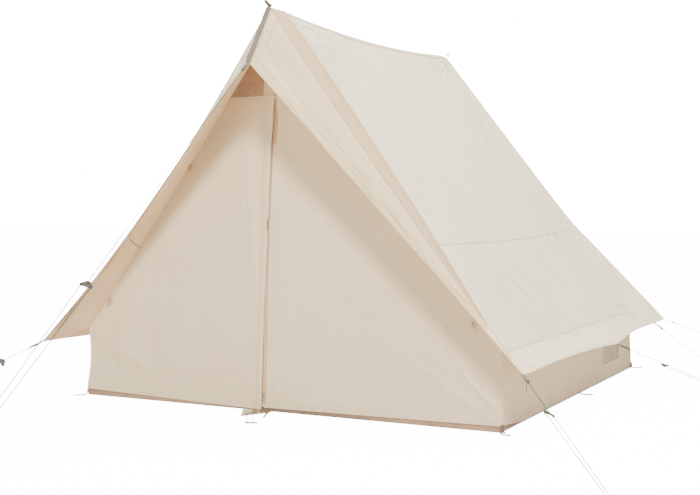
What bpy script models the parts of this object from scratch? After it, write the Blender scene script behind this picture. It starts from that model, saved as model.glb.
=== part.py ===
"""Ridge tent of cotton canvas: kinked eaves, hooded gables, two door leaves, pole frame and guy lines.

Metres, +Z up. The entrance faces -Y and the ridge runs along Y. The origin lies on the ground,
below the middle of the canvas.
"""

import math

import bmesh
import bpy
from mathutils import Vector

# Floor and walls
FLOOR_WIDTH = 2.36
FLOOR_DEPTH = 2.36
WALL_HEIGHT = 0.357
HEM_HEIGHT = 0.032
TUB_HEIGHT = 0.06
TUB_THICKNESS = 0.0015
CANVAS = 0.0012
MESH_THICKNESS = 0.0008
SEAM_GAP = 0.0003

# How far each gable leans inward for a metre of height
FRONT_LEAN = 0.038
REAR_LEAN = 0.139

# Roof and eaves
RIDGE_HEIGHT = 2.0
EAVE_REACH = 0.16
EAVE_DROP = 0.06
MIDDLE_EAVE_DROP = 0.034
EAVE_SCALLOP = 0.018
ROOF_SAG = 0.018
RIDGE_SAG = 0.038
MIDDLE_TAB_DEPTH = 1.407
REAR_TAB_INSET = 0.012

# Hoods over the two gables
FRONT_PEAK_REACH = 0.058
FRONT_TIP_REACH = 0.255
FRONT_TIP_DROP = 0.295
FRONT_CORNER_REACH = 0.176
REAR_PEAK_INSET = 0.144
REAR_TIP_REACH = 0.06
REAR_TIP_DROP = 0.295
REAR_CORNER_REACH = 0.216
REAR_BREAK_HEIGHT = 0.82
HEM_HOLLOW = 0.02
CREASE_HOLLOW = 0.037
CREASE_SAG = 0.03
HOOD_GAP = 0.0008
TAB_GAP = 0.0008
TIP_TAB_GAP = 0.0013

# Vent, doors and zip
VENT_SILL = 1.59
VENT_TOP_CLEARANCE = 0.012
ZIP_OFFSET = -0.078
TAPE_WIDTH = 0.012
TAPE_THICKNESS = 0.0009
CHAIN_WIDTH = 0.006
CHAIN_THICKNESS = 0.0012
PULL_LENGTH = 0.030
ZIP_BODY_LENGTH = 0.016
ZIP_BODY_WIDTH = 0.011
ZIP_BODY_THICKNESS = 0.0035
ZIP_BODY_LIFT = 0.012

# Side windows, measured from the foot of the front wall
WINDOW_START = 1.70
WINDOW_LENGTH = 0.35
WINDOW_SILL = 0.10
WINDOW_HEIGHT = 0.17
WINDOW_LAP = 0.012

# Pole frame
POLE_RADIUS = 0.0095
POLE_WALL = 0.0012
LEG_INSET = 0.06
LEG_STANDOFF = 0.052
JOINT_RADIUS = 0.0135
JOINT_CLEARANCE = 0.0006
NECK_SHARE = 0.8
SPIGOT_LENGTH = 0.07
SPIGOT_CLEARANCE = 0.0004
NOSE_RADIUS = 0.006
FERRULE_LENGTH = 0.08

# Webbing
TAB_WIDTH = 0.022
TAB_LENGTH = 0.062
TAB_THICKNESS = 0.0022
LOOP_LENGTH = 0.078
LOOP_WIDTH = 0.030
LOOP_SLOT_WIDTH = 0.016
LOOP_THICKNESS = 0.0026
LOOP_BASE = 0.022
SIDE_LOOP_DEPTH = 1.23

# Guy lines and their sliders
CORD_DIAMETER = 0.0038
SLIDER_WIDTH = 0.060
SLIDER_LENGTH = 0.026
SLIDER_THICKNESS = 0.005
STRAND_SPREAD = 0.021
PEG_SPREAD = 0.007

# Pegs: how far outside the eave's corner, and how far along Y from the foot of the front wall
FRONT_PEG_DEPTH = -2.29
FRONT_RIGHT_PEG = (0.553, -0.89)
FRONT_LEFT_PEG = (0.31, -0.90)
SIDE_PEG = (0.80, 1.24)
REAR_SIDE_PEG = (0.44, 2.22)
REAR_CORNER_PEG = (0.66, 2.95)
REAR_PEG_DEPTH = 4.36

# Where each slider sits, as a share of the way from the tab to the peg
FRONT_SLIDER_SHARE = 0.56
FRONT_RIGHT_SLIDER_SHARE = 0.29
FRONT_LEFT_SLIDER_SHARE = 0.21
SIDE_SLIDER_SHARE = 0.265

# How far a slider hangs turned about its line, in degrees
FRONT_RIGHT_SLIDER_ROLL = 26
FRONT_LEFT_SLIDER_ROLL = 42

CANVAS_COLOUR = (0.73, 0.66, 0.55)
GROUNDSHEET_COLOUR = (0.42, 0.28, 0.17)
MESH_COLOUR = (0.20, 0.11, 0.06)
WEBBING_COLOUR = (0.20, 0.17, 0.14)
CORD_COLOUR = (0.32, 0.31, 0.29)
PLASTIC_COLOUR = (0.13, 0.11, 0.095)
ZIP_COLOUR = (0.62, 0.55, 0.44)
BRASS_COLOUR = (0.33, 0.31, 0.27)
POLE_COLOUR = (0.55, 0.56, 0.57)

# The canvas reaches furthest at the front hood's tip and at the rear corners
FRONT_FOOT = (FRONT_TIP_REACH - REAR_CORNER_REACH) / 2 - FLOOR_DEPTH / 2
REAR_FOOT = FRONT_FOOT + FLOOR_DEPTH
HALF_WIDTH = FLOOR_WIDTH / 2
EAVE_X = HALF_WIDTH + EAVE_REACH
EAVE_Z = WALL_HEIGHT - EAVE_DROP


def clear_scene():
    for obj in list(bpy.data.objects):
        bpy.data.objects.remove(obj, do_unlink=True)


def make_material(name, colour, roughness, metallic=0.0):
    material = bpy.data.materials.new(name)
    material.use_nodes = True
    shader = material.node_tree.nodes["Principled BSDF"]
    shader.inputs["Base Color"].default_value = (*colour, 1.0)
    shader.inputs["Roughness"].default_value = roughness
    shader.inputs["Metallic"].default_value = metallic
    return material


def add_object(name, mesh, material):
    obj = bpy.data.objects.new(name, mesh)
    bpy.context.scene.collection.objects.link(obj)
    mesh.materials.append(material)
    return obj


def mesh_from(name, bm):
    mesh = bpy.data.meshes.new(name)
    bm.to_mesh(mesh)
    bm.free()
    return mesh


def front_y(z):
    """The outer face of the front gable at height z."""
    return FRONT_FOOT + FRONT_LEAN * z


def rear_y(z):
    """The outer face of the rear gable at height z."""
    return REAR_FOOT - REAR_LEAN * z


def roof_x(z):
    """Half the inner width of the roof at height z, from the wall top to the ridge."""
    return HALF_WIDTH * (RIDGE_HEIGHT - z) / (RIDGE_HEIGHT - WALL_HEIGHT)


def roof_z(x):
    """The roof's inner face at the distance x from the middle, eave band included."""
    if x <= HALF_WIDTH:
        return RIDGE_HEIGHT - (RIDGE_HEIGHT - WALL_HEIGHT) * x / HALF_WIDTH
    return WALL_HEIGHT - EAVE_DROP * (x - HALF_WIDTH) / EAVE_REACH


def ridge_sag(along):
    """How far the ridge hangs below a straight line, at a share of the way from front to rear."""
    return RIDGE_SAG * 4 * along * (1 - along)


def plate(name, outline, push, material):
    """A flat piece: its outline and that outline moved by push, joined all round."""
    bm = bmesh.new()
    first = [bm.verts.new(point) for point in outline]
    second = [bm.verts.new(Vector(point) + Vector(push)) for point in outline]
    bm.faces.new(first)
    bm.faces.new(list(reversed(second)))
    count = len(outline)
    for i in range(count):
        after = (i + 1) % count
        bm.faces.new([first[i], second[i], second[after], first[after]])
    bmesh.ops.recalc_face_normals(bm, faces=bm.faces)
    return add_object(name, mesh_from(name, bm), material)


def shell(name, rows, outward, thickness, material):
    """A curved sheet through rows of points, thickened on its outward side."""
    bm = bmesh.new()
    seen = {}

    def vertex(point):
        key = tuple(round(value, 6) for value in point)
        if key not in seen:
            seen[key] = bm.verts.new(point)
        return seen[key]

    grid = [[vertex(point) for point in row] for row in rows]
    for row, after in zip(grid, grid[1:]):
        for i in range(len(row) - 1):
            loop = []
            for corner in (row[i], row[i + 1], after[i + 1], after[i]):
                if corner not in loop:
                    loop.append(corner)
            if len(loop) > 2:
                bm.faces.new(loop)
    bm.normal_update()
    facing = sum((face.normal * face.calc_area() for face in bm.faces), Vector())
    if facing.dot(Vector(outward)) < 0:
        bmesh.ops.reverse_faces(bm, faces=bm.faces)
    obj = add_object(name, mesh_from(name, bm), material)
    solidify = obj.modifiers.new("Canvas thickness", "SOLIDIFY")
    solidify.thickness = thickness
    solidify.offset = 1.0
    solidify.use_even_offset = True
    return obj


def cut(obj, cutter):
    cutter.hide_render = True
    cutter.display_type = "WIRE"
    boolean = obj.modifiers.new("Cut " + cutter.name, "BOOLEAN")
    boolean.operation = "DIFFERENCE"
    boolean.solver = "EXACT"
    boolean.object = cutter


def box_mesh(name, low, high, material):
    low = Vector(low)
    high = Vector(high)
    outline = [
        (low.x, low.y, low.z),
        (high.x, low.y, low.z),
        (high.x, high.y, low.z),
        (low.x, high.y, low.z),
    ]
    return plate(name, outline, (0, 0, high.z - low.z), material)


def frame_along(direction):
    """Two unit vectors square to direction, the first of them level."""
    direction = Vector(direction).normalized()
    across = direction.cross(Vector((0, 0, 1)))
    if across.length < 1e-6:
        across = Vector((1, 0, 0))
    across.normalize()
    return across, across.cross(direction).normalized()


def ring_points(centre, direction, radius, sides=20):
    across, lift = frame_along(direction)
    points = []
    for i in range(sides):
        turn = 2 * math.pi * i / sides
        points.append(Vector(centre) + radius * (math.cos(turn) * across + math.sin(turn) * lift))
    return points


def turned(name, start, end, profile, material):
    """A body turned on the line from start to end. The profile closes on itself."""
    start = Vector(start)
    direction = (Vector(end) - start).normalized()
    bm = bmesh.new()
    rings = []
    for along, radius in profile:
        centre = start + direction * along
        rings.append([bm.verts.new(point) for point in ring_points(centre, direction, radius)])
    count = len(rings[0])
    for index in range(len(rings)):
        ring = rings[index]
        after = rings[(index + 1) % len(rings)]
        for i in range(count):
            step = (i + 1) % count
            bm.faces.new([ring[i], ring[step], after[step], after[i]])
    bmesh.ops.recalc_face_normals(bm, faces=bm.faces)
    mesh = mesh_from(name, bm)
    mesh.shade_smooth()
    mesh.set_sharp_from_angle(angle=math.radians(40))
    return add_object(name, mesh, material)


def rod(name, start, end, radius, material):
    """A solid round bar from start to end."""
    start = Vector(start)
    end = Vector(end)
    direction = end - start
    bm = bmesh.new()
    first = [bm.verts.new(point) for point in ring_points(start, direction, radius)]
    second = [bm.verts.new(point) for point in ring_points(end, direction, radius)]
    bm.faces.new(first)
    bm.faces.new(list(reversed(second)))
    count = len(first)
    for i in range(count):
        step = (i + 1) % count
        bm.faces.new([first[i], first[step], second[step], second[i]])
    bmesh.ops.recalc_face_normals(bm, faces=bm.faces)
    return add_object(name, mesh_from(name, bm), material)


def join_by_union(obj, others):
    for other in others:
        other.hide_render = True
        other.display_type = "WIRE"
        boolean = obj.modifiers.new("Join " + other.name, "BOOLEAN")
        boolean.operation = "UNION"
        boolean.solver = "EXACT"
        boolean.object = other


def build_groundsheet(material):
    """A tray of coated cloth whose low sides stand inside the canvas walls."""
    inset = CANVAS + SEAM_GAP
    x = HALF_WIDTH - inset
    front_inset = inset * math.hypot(1, FRONT_LEAN)
    rear_inset = inset * math.hypot(1, REAR_LEAN)
    rims = []
    for z in (0.0, TUB_HEIGHT):
        front = front_y(z) + front_inset
        rear = rear_y(z) - rear_inset
        rims.append([(-x, front, z), (x, front, z), (x, rear, z), (-x, rear, z)])
    bm = bmesh.new()
    low = [bm.verts.new(point) for point in rims[0]]
    high = [bm.verts.new(point) for point in rims[1]]
    bm.faces.new(list(reversed(low)))
    for i in range(4):
        after = (i + 1) % 4
        bm.faces.new([low[i], low[after], high[after], high[i]])
    obj = add_object("groundsheet", mesh_from("groundsheet", bm), material)
    solidify = obj.modifiers.new("Sheet thickness", "SOLIDIFY")
    solidify.thickness = TUB_THICKNESS
    solidify.offset = -1.0
    solidify.use_even_offset = True


def build_side_wall(side, side_name, material, mesh_material):
    x = side * HALF_WIDTH
    front_inset = (CANVAS + SEAM_GAP) * math.hypot(1, FRONT_LEAN)
    rear_inset = (CANVAS + SEAM_GAP) * math.hypot(1, REAR_LEAN)
    top = WALL_HEIGHT - SEAM_GAP
    outline = [
        (x, front_y(HEM_HEIGHT) + front_inset, HEM_HEIGHT),
        (x, rear_y(HEM_HEIGHT) - rear_inset, HEM_HEIGHT),
        (x, rear_y(top) - rear_inset, top),
        (x, front_y(top) + front_inset, top),
    ]
    wall = plate("side_wall_" + side_name, outline, (-side * CANVAS, 0, 0), material)
    start = FRONT_FOOT + WINDOW_START
    end = start + WINDOW_LENGTH
    sill = WINDOW_SILL
    head = WINDOW_SILL + WINDOW_HEIGHT
    cutter = box_mesh(
        "window_cutter_" + side_name,
        (x - 0.02, start, sill),
        (x + 0.02, end, head),
        material,
    )
    cut(wall, cutter)
    face = x - side * (CANVAS + SEAM_GAP)
    lap = WINDOW_LAP
    outline = [
        (face, start - lap, sill - lap),
        (face, end + lap, sill - lap),
        (face, end + lap, head + lap),
        (face, start - lap, head + lap),
    ]
    plate("window_mesh_" + side_name, outline, (-side * MESH_THICKNESS, 0, 0), mesh_material)


def eave_stations():
    """Places along Y with the hem's rise there, hollow between the webbing tabs."""
    middle = FRONT_FOOT + MIDDLE_TAB_DEPTH
    rear_tab = rear_y(EAVE_Z) - REAR_TAB_INSET
    steps = 6
    stations = []
    spans = ((front_y(EAVE_Z), middle), (middle, rear_tab), (rear_tab, rear_y(EAVE_Z)))
    for start, end in spans:
        pieces = steps if end - start > 10 * REAR_TAB_INSET else 1
        for i in range(pieces):
            share = i / pieces
            hollow = 4 * share * (1 - share) if pieces > 1 else 0.0
            stations.append((start + (end - start) * share, hollow))
    stations.append((rear_y(EAVE_Z), 0.0))
    return stations


def middle_drop(y):
    """The extra fall of the hem towards the middle tab."""
    middle = FRONT_FOOT + MIDDLE_TAB_DEPTH
    if y < middle:
        share = (y - FRONT_FOOT) / (middle - FRONT_FOOT)
    else:
        share = (REAR_FOOT - y) / (REAR_FOOT - middle)
    return MIDDLE_EAVE_DROP * min(max(share, 0.0), 1.0)


def build_roof(side, side_name, material):
    slope_steps = 6
    stations = eave_stations()
    start = stations[0][0]
    length = stations[-1][0] - start
    rows = []
    for i in range(slope_steps + 1):
        share = i / slope_steps
        x = HALF_WIDTH * share
        z = roof_z(x)
        row = []
        for y, _ in stations:
            along = (y - start) / length
            front = front_y(z) + SEAM_GAP / 2
            rear = rear_y(z) - SEAM_GAP / 2
            sag = ROOF_SAG * 16 * share * (1 - share) * along * (1 - along)
            sag += ridge_sag(along) * (1 - share) ** 2
            place = Vector((x, front + (rear - front) * along, z - sag))
            place.x = max(place.x, SEAM_GAP / 2)
            row.append((side * place.x, place.y, place.z))
        rows.append(row)
    hem = []
    for y, hollow in stations:
        along = (y - start) / length
        drop = EAVE_DROP + middle_drop(y)
        reach = EAVE_REACH - EAVE_SCALLOP * hollow
        x = HALF_WIDTH + reach
        z = WALL_HEIGHT - drop * reach / EAVE_REACH
        front = front_y(EAVE_Z) + SEAM_GAP / 2
        rear = rear_y(EAVE_Z) - SEAM_GAP / 2
        hem.append((side * x, front + (rear - front) * along, z))
    rows.append(hem)
    shell("roof_" + side_name, rows, (side, 0, 1), CANVAS, material)


def hood_rows(side, peak, tip, corner, seam_y, end_sign, breaks):
    """Rows of a hood: the seam on the gable's plane, the crease and the free hem."""
    steps = 8
    seam = []
    crease = []
    hem = []
    xs = [EAVE_X * i / steps for i in range(steps + 1)]
    xs.append(HALF_WIDTH)
    xs.sort()
    for x in xs:
        share = x / EAVE_X
        z = roof_z(x)
        seam.append((side * max(x, SEAM_GAP / 2), seam_y(z) + end_sign * HOOD_GAP, z))
        bow = 4 * share * (1 - share)
        fold = Vector(peak).lerp(Vector(corner), share)
        for low, high in zip(breaks, breaks[1:]):
            if low[0] <= x <= high[0]:
                part = (x - low[0]) / (high[0] - low[0])
                fold.z = low[1] + (high[1] - low[1]) * part
        if end_sign < 0:
            fold += Vector((-RIDGE_HEIGHT, 0, -EAVE_X)).normalized() * CREASE_SAG * bow
            fold.y += CREASE_HOLLOW * bow
        edge = Vector(tip).lerp(Vector(corner), share)
        edge.y -= end_sign * HEM_HOLLOW * bow
        fold.x = max(fold.x, SEAM_GAP / 2)
        edge.x = max(edge.x, SEAM_GAP / 2)
        crease.append((side * fold.x, fold.y, fold.z))
        hem.append((side * edge.x, edge.y, edge.z))
    crease[-1] = hem[-1]
    return [seam, crease, hem]


def front_corner():
    return Vector((EAVE_X, FRONT_FOOT - FRONT_CORNER_REACH, EAVE_Z))


def front_tip():
    return Vector((0, FRONT_FOOT - FRONT_TIP_REACH, RIDGE_HEIGHT - FRONT_TIP_DROP))


def rear_corner():
    return Vector((EAVE_X, REAR_FOOT + REAR_CORNER_REACH, EAVE_Z))


def rear_tip():
    return Vector((0, REAR_FOOT + REAR_TIP_REACH, RIDGE_HEIGHT - REAR_TIP_DROP))


def build_hoods(side, side_name, material):
    front_peak = Vector((0, FRONT_FOOT - FRONT_PEAK_REACH, RIDGE_HEIGHT))
    breaks = [(0.0, RIDGE_HEIGHT), (EAVE_X, EAVE_Z)]
    rows = hood_rows(side, front_peak, front_tip(), front_corner(), front_y, -1, breaks)
    shell("front_hood_" + side_name, rows, (side, -1, 1), CANVAS, material)
    rear_peak = Vector((0, REAR_FOOT - REAR_PEAK_INSET, RIDGE_HEIGHT))
    break_x = roof_x(REAR_BREAK_HEIGHT)
    breaks = [(0.0, RIDGE_HEIGHT), (break_x, REAR_BREAK_HEIGHT), (EAVE_X, EAVE_Z)]
    rows = hood_rows(side, rear_peak, rear_tip(), rear_corner(), rear_y, 1, breaks)
    shell("rear_hood_" + side_name, rows, (side, 1, 1), CANVAS, material)


def front_point(x, z):
    """A point on the outer face of the front gable."""
    return Vector((x, front_y(z), z))


def front_inward():
    """The direction from the front gable's outer face to its inner one."""
    return Vector((0, 1, -FRONT_LEAN)).normalized()


def hinge_line(side):
    """The fold of a door leaf: from the foot of the gable's corner to the top of the zip."""
    foot = front_point(side * HALF_WIDTH, HEM_HEIGHT)
    top = front_point(ZIP_OFFSET, VENT_SILL)
    return foot, top


def line_shift(side, distance):
    """A shift of the hinge line in the gable's plane, positive away from the leaf."""
    foot, top = hinge_line(side)
    along = (top - foot).normalized()
    square = along.cross(front_inward())
    if square.x * side < 0:
        square = -square
    return square * distance


def below_ridge(radius):
    """How far a round bar's middle hangs below the ridge when it just clears both slopes."""
    slope = math.hypot(RIDGE_HEIGHT - WALL_HEIGHT, HALF_WIDTH) / HALF_WIDTH
    return (radius + JOINT_CLEARANCE) * slope


def ridge_pole_z():
    """The ridge pole lies just below the lowest place of the sagging ridge."""
    return RIDGE_HEIGHT - RIDGE_SAG - below_ridge(POLE_RADIUS)


def joint_head_z():
    """The head of each apex joint holds the ridge up from below."""
    share = (LEG_STANDOFF + JOINT_RADIUS) / (rear_y(RIDGE_HEIGHT) - front_y(RIDGE_HEIGHT))
    return RIDGE_HEIGHT - ridge_sag(share) - below_ridge(JOINT_RADIUS)


def gable_top():
    """Where the gable cloth ends, just below the joint's nose."""
    return joint_head_z() - NOSE_RADIUS - VENT_TOP_CLEARANCE


def side_margin():
    """Keeps a gable's sloping edge clear of the roof's inner face."""
    slope = math.hypot(RIDGE_HEIGHT - WALL_HEIGHT, HALF_WIDTH) / (RIDGE_HEIGHT - WALL_HEIGHT)
    return SEAM_GAP * slope


def build_front_gable(side, side_name, canvas, zip_material):
    push = front_inward() * CANVAS
    foot, top = hinge_line(side)
    gap = SEAM_GAP
    outer = line_shift(side, gap)
    inner = line_shift(side, -gap)
    along = (top - foot).normalized()
    sill = VENT_SILL - gap
    margin = side_margin()
    edge_x = side * (roof_x(sill) - margin)
    wall_top = WALL_HEIGHT - gap
    start = foot + outer
    start += along * ((HEM_HEIGHT - start.z) / along.z)
    finish = foot + outer
    finish += along * ((sill - finish.z) / along.z)
    outline = [
        front_point(side * HALF_WIDTH, HEM_HEIGHT),
        front_point(side * HALF_WIDTH, wall_top - margin),
        front_point(edge_x, sill),
        front_point(finish.x, sill),
    ]
    if abs(start.x) < HALF_WIDTH:
        outline.append(front_point(start.x, HEM_HEIGHT))
    plate("front_panel_" + side_name, outline, push, canvas)

    seam_x = ZIP_OFFSET + side * (TAPE_WIDTH + gap)
    near = foot + inner
    near_top = near + along * ((seam_x - near.x) / along.x)
    near_foot = near + along * ((HEM_HEIGHT - near.z) / along.z)
    outline = [
        front_point(seam_x, near_top.z),
        front_point(seam_x, HEM_HEIGHT),
        front_point(near_foot.x, HEM_HEIGHT),
    ]
    plate("door_" + side_name, outline, push, canvas)
    build_zip_tape(side, side_name, near_top.z, zip_material)


def build_zip_tape(side, side_name, top_z, material):
    """Half of the zip: a flat tape with half of the chain along its inner edge."""
    inward = front_inward()
    half_gap = SEAM_GAP / 2
    low = HEM_HEIGHT
    bump = CHAIN_WIDTH / 2
    profile = [
        (half_gap, -CHAIN_THICKNESS),
        (bump, -CHAIN_THICKNESS),
        (bump, 0.0),
        (TAPE_WIDTH, 0.0),
        (TAPE_WIDTH, TAPE_THICKNESS),
        (half_gap, TAPE_THICKNESS),
    ]
    foot = front_point(ZIP_OFFSET, low)
    outline = [foot + Vector((side * x, 0, 0)) + inward * depth for x, depth in profile]
    top = front_point(ZIP_OFFSET, top_z)
    plate("zip_tape_" + side_name, outline, top - foot, material)


def build_zip_slider(material):
    """The slider's body in front of the right half of the chain, with its hanging pull."""
    outward = -front_inward()
    up = (front_point(0, 1) - front_point(0, 0)).normalized()
    face = CHAIN_THICKNESS + SEAM_GAP
    half = ZIP_BODY_WIDTH / 2
    waist = half * 0.7
    foot = front_point(ZIP_OFFSET + half + SEAM_GAP / 2, HEM_HEIGHT)
    base = foot + up * (PULL_LENGTH + ZIP_BODY_LIFT) + outward * face
    outline = [
        base + Vector((-waist, 0, 0)),
        base + Vector((waist, 0, 0)),
        base + Vector((half, 0, 0)) + up * ZIP_BODY_LENGTH,
        base + Vector((-half, 0, 0)) + up * ZIP_BODY_LENGTH,
    ]
    body = plate("zip_slider", outline, outward * ZIP_BODY_THICKNESS, material)
    narrow = half * 0.4
    pull_top = base + up * (ZIP_BODY_LENGTH * 0.5) + outward * (ZIP_BODY_THICKNESS * 0.5)
    outline = [
        pull_top + Vector((-narrow, 0, 0)),
        pull_top + Vector((narrow, 0, 0)),
        pull_top + Vector((waist, 0, 0)) - up * PULL_LENGTH,
        pull_top + Vector((-waist, 0, 0)) - up * PULL_LENGTH,
    ]
    pull = plate("zip_pull_shape", outline, outward * ZIP_BODY_THICKNESS, material)
    join_by_union(body, [pull])


def build_vent(material):
    margin = side_margin()
    low = VENT_SILL + SEAM_GAP
    high = gable_top()
    outline = [
        front_point(-(roof_x(low) - margin), low),
        front_point(roof_x(low) - margin, low),
        front_point(roof_x(high) - margin, high),
        front_point(-(roof_x(high) - margin), high),
    ]
    plate("vent_mesh", outline, front_inward() * MESH_THICKNESS, material)


def build_rear_wall(material):
    margin = side_margin()
    high = gable_top()
    wall_top = WALL_HEIGHT - SEAM_GAP - margin
    outline = []
    for x, z in (
        (-HALF_WIDTH, HEM_HEIGHT),
        (HALF_WIDTH, HEM_HEIGHT),
        (HALF_WIDTH, wall_top),
        (roof_x(high) - margin, high),
        (-(roof_x(high) - margin), high),
        (-HALF_WIDTH, wall_top),
    ):
        outline.append(Vector((x, rear_y(z), z)))
    push = Vector((0, -1, -REAR_LEAN)).normalized() * CANVAS
    plate("rear_wall", outline, push, material)


def apex(end_sign):
    """The middle of the joint that carries the legs and the ridge pole at one end."""
    z = ridge_pole_z()
    if end_sign < 0:
        return Vector((0, front_y(z) + LEG_STANDOFF, z))
    return Vector((0, rear_y(z) - LEG_STANDOFF, z))


def leg_foot(side, end_sign):
    y = front_y(0) + LEG_INSET if end_sign < 0 else rear_y(0) - LEG_INSET
    foot = Vector((side * (HALF_WIDTH - LEG_INSET), y, TUB_THICKNESS + SEAM_GAP))
    tilt = (apex(end_sign) - foot).normalized()
    foot.z += POLE_RADIUS * math.hypot(tilt.x, tilt.y)
    return foot


def tube(name, start, end, material):
    length = (Vector(end) - Vector(start)).length
    inner = POLE_RADIUS - POLE_WALL
    profile = [(0, POLE_RADIUS), (length, POLE_RADIUS), (length, inner), (0, inner)]
    return turned(name, start, end, profile, material)


def build_end_frame(end_sign, end_name, pole_material, joint_material):
    centre = apex(end_sign)
    core = JOINT_RADIUS
    reach = Vector((0, core, 0))
    spigot = POLE_RADIUS - POLE_WALL - SPIGOT_CLEARANCE
    block = rod("apex_joint_" + end_name, centre - reach, centre + reach, core, joint_material)
    head = Vector((centre.x, centre.y, joint_head_z()))
    pieces = [
        rod("joint_head_" + end_name, head - reach, head + reach, core, joint_material),
        rod("joint_neck_" + end_name, centre, head, core * NECK_SHARE, joint_material),
    ]
    for side, side_name in ((-1, "left"), (1, "right")):
        foot = leg_foot(side, end_sign)
        down = (foot - centre).normalized()
        apart = POLE_RADIUS * abs(down.z / down.x)
        start = centre + down * (max(apart, core) + SEAM_GAP * 4)
        tube(end_name + "_pole_" + side_name, start, foot, pole_material)
        spigot_end = start + down * SPIGOT_LENGTH
        pieces.append(rod("leg_spigot_" + end_name + side_name, centre, spigot_end, spigot, joint_material))
    spigot_end = centre - Vector((0, end_sign * (core + SPIGOT_LENGTH), 0))
    pieces.append(rod("ridge_spigot_" + end_name, centre, spigot_end, spigot, joint_material))
    peak_y = FRONT_FOOT - FRONT_PEAK_REACH + JOINT_RADIUS
    if end_sign > 0:
        peak_y = REAR_FOOT - REAR_PEAK_INSET - JOINT_RADIUS
    nose_end = Vector((0, peak_y, head.z))
    pieces.append(rod("nose_" + end_name, head, nose_end, NOSE_RADIUS, joint_material))
    join_by_union(block, pieces)


def build_ridge_pole(material):
    front = apex(-1) + Vector((0, JOINT_RADIUS + SEAM_GAP, 0))
    rear = apex(1) - Vector((0, JOINT_RADIUS + SEAM_GAP, 0))
    middle = (front + rear) / 2
    inner = POLE_RADIUS - POLE_WALL
    ferrule = inner - SPIGOT_CLEARANCE
    length = (middle - front).length
    profile = [
        (0, POLE_RADIUS),
        (length, POLE_RADIUS),
        (length, ferrule),
        (length + FERRULE_LENGTH, ferrule),
        (length + FERRULE_LENGTH, ferrule - POLE_WALL),
        (length - FERRULE_LENGTH, ferrule - POLE_WALL),
        (length - FERRULE_LENGTH, inner),
        (0, inner),
    ]
    turned("ridge_pole_front", front, rear, profile, material)
    start = middle + Vector((0, SEAM_GAP, 0))
    tube("ridge_pole_rear", start, rear, material)


def build_tab(name, start, direction, material, gap=TAB_GAP):
    """A short strap sewn to the hem, which a guy line is tied to. Returns the strap's far end."""
    direction = Vector(direction).normalized()
    across, lift = frame_along(direction)
    start = Vector(start) + direction * gap
    end = start + direction * TAB_LENGTH
    half = TAB_WIDTH / 2
    base = start - lift * (TAB_THICKNESS / 2)
    taper = half * 0.6
    root = half * 0.15
    outline = [
        base - across * root,
        base + across * root,
        base + across * half + direction * half,
        base + across * half + direction * (TAB_LENGTH - half),
        base + across * taper + direction * TAB_LENGTH,
        base - across * taper + direction * TAB_LENGTH,
        base - across * half + direction * (TAB_LENGTH - half),
        base - across * half + direction * half,
    ]
    plate(name, outline, lift * TAB_THICKNESS, material)
    return end


def build_peg_loop(name, start, direction, material):
    """A flat loop of webbing on the ground that a peg goes through."""
    direction = Vector((direction[0], direction[1], 0)).normalized()
    across = Vector((-direction.y, direction.x, 0))
    start = Vector((start[0], start[1], 0)) + direction * SEAM_GAP
    half = LOOP_WIDTH / 2
    straight = LOOP_LENGTH - half
    steps = 10
    outline = [start - across * half, start + across * half]
    for i in range(steps + 1):
        turn = math.pi * i / steps
        point = start + direction * (straight + half * math.sin(turn))
        outline.append(point + across * half * math.cos(turn))
    loop = plate(name, outline, (0, 0, LOOP_THICKNESS), material)
    slot_half = LOOP_SLOT_WIDTH / 2
    hole = []
    for i in range(steps + 1):
        turn = math.pi * i / steps
        point = start + direction * (straight + slot_half * math.sin(turn))
        hole.append(point + across * slot_half * math.cos(turn))
    hole.append(start + direction * LOOP_BASE - across * slot_half)
    hole.append(start + direction * LOOP_BASE + across * slot_half)
    lowered = [point - Vector((0, 0, 0.005)) for point in hole]
    slot = plate(name + "_slot", lowered, (0, 0, LOOP_THICKNESS + 0.01), material)
    cut(loop, slot)


def smooth_route(points, spacing):
    """Points read at even spacing from a smooth curve through the route's own points."""
    points = [Vector(point) for point in points]
    ends = [points[0] * 2 - points[1]] + points + [points[-1] * 2 - points[-2]]
    fine = []
    for i in range(1, len(ends) - 2):
        before, start, end, after = ends[i - 1:i + 3]
        for step in range(24):
            t = step / 24
            place = 0.5 * (
                2 * start
                + (end - before) * t
                + (2 * before - 5 * start + 4 * end - after) * t * t
                + (3 * start - before - 3 * end + after) * t ** 3
            )
            fine.append(place)
    fine.append(points[-1])
    length = sum((b - a).length for a, b in zip(fine, fine[1:]))
    count = max(2, round(length / spacing))
    picked = [fine[0]]
    walked = 0.0
    for a, b in zip(fine, fine[1:]):
        step = (b - a).length
        while step > 0 and walked + step >= length * len(picked) / count - 1e-9:
            share = (length * len(picked) / count - walked) / step
            picked.append(a.lerp(b, min(share, 1.0)))
            if len(picked) > count:
                return picked
        walked += step
    return picked


def build_cord(name, points, material):
    curve = bpy.data.curves.new(name, "CURVE")
    curve.dimensions = "3D"
    curve.bevel_depth = CORD_DIAMETER / 2
    curve.bevel_resolution = 2
    curve.use_fill_caps = True
    spline = curve.splines.new("POLY")
    spline.points.add(len(points) - 1)
    for target, point in zip(spline.points, points):
        target.co = (*point, 1.0)
    curve.materials.append(material)
    obj = bpy.data.objects.new(name, curve)
    bpy.context.scene.collection.objects.link(obj)


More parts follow.
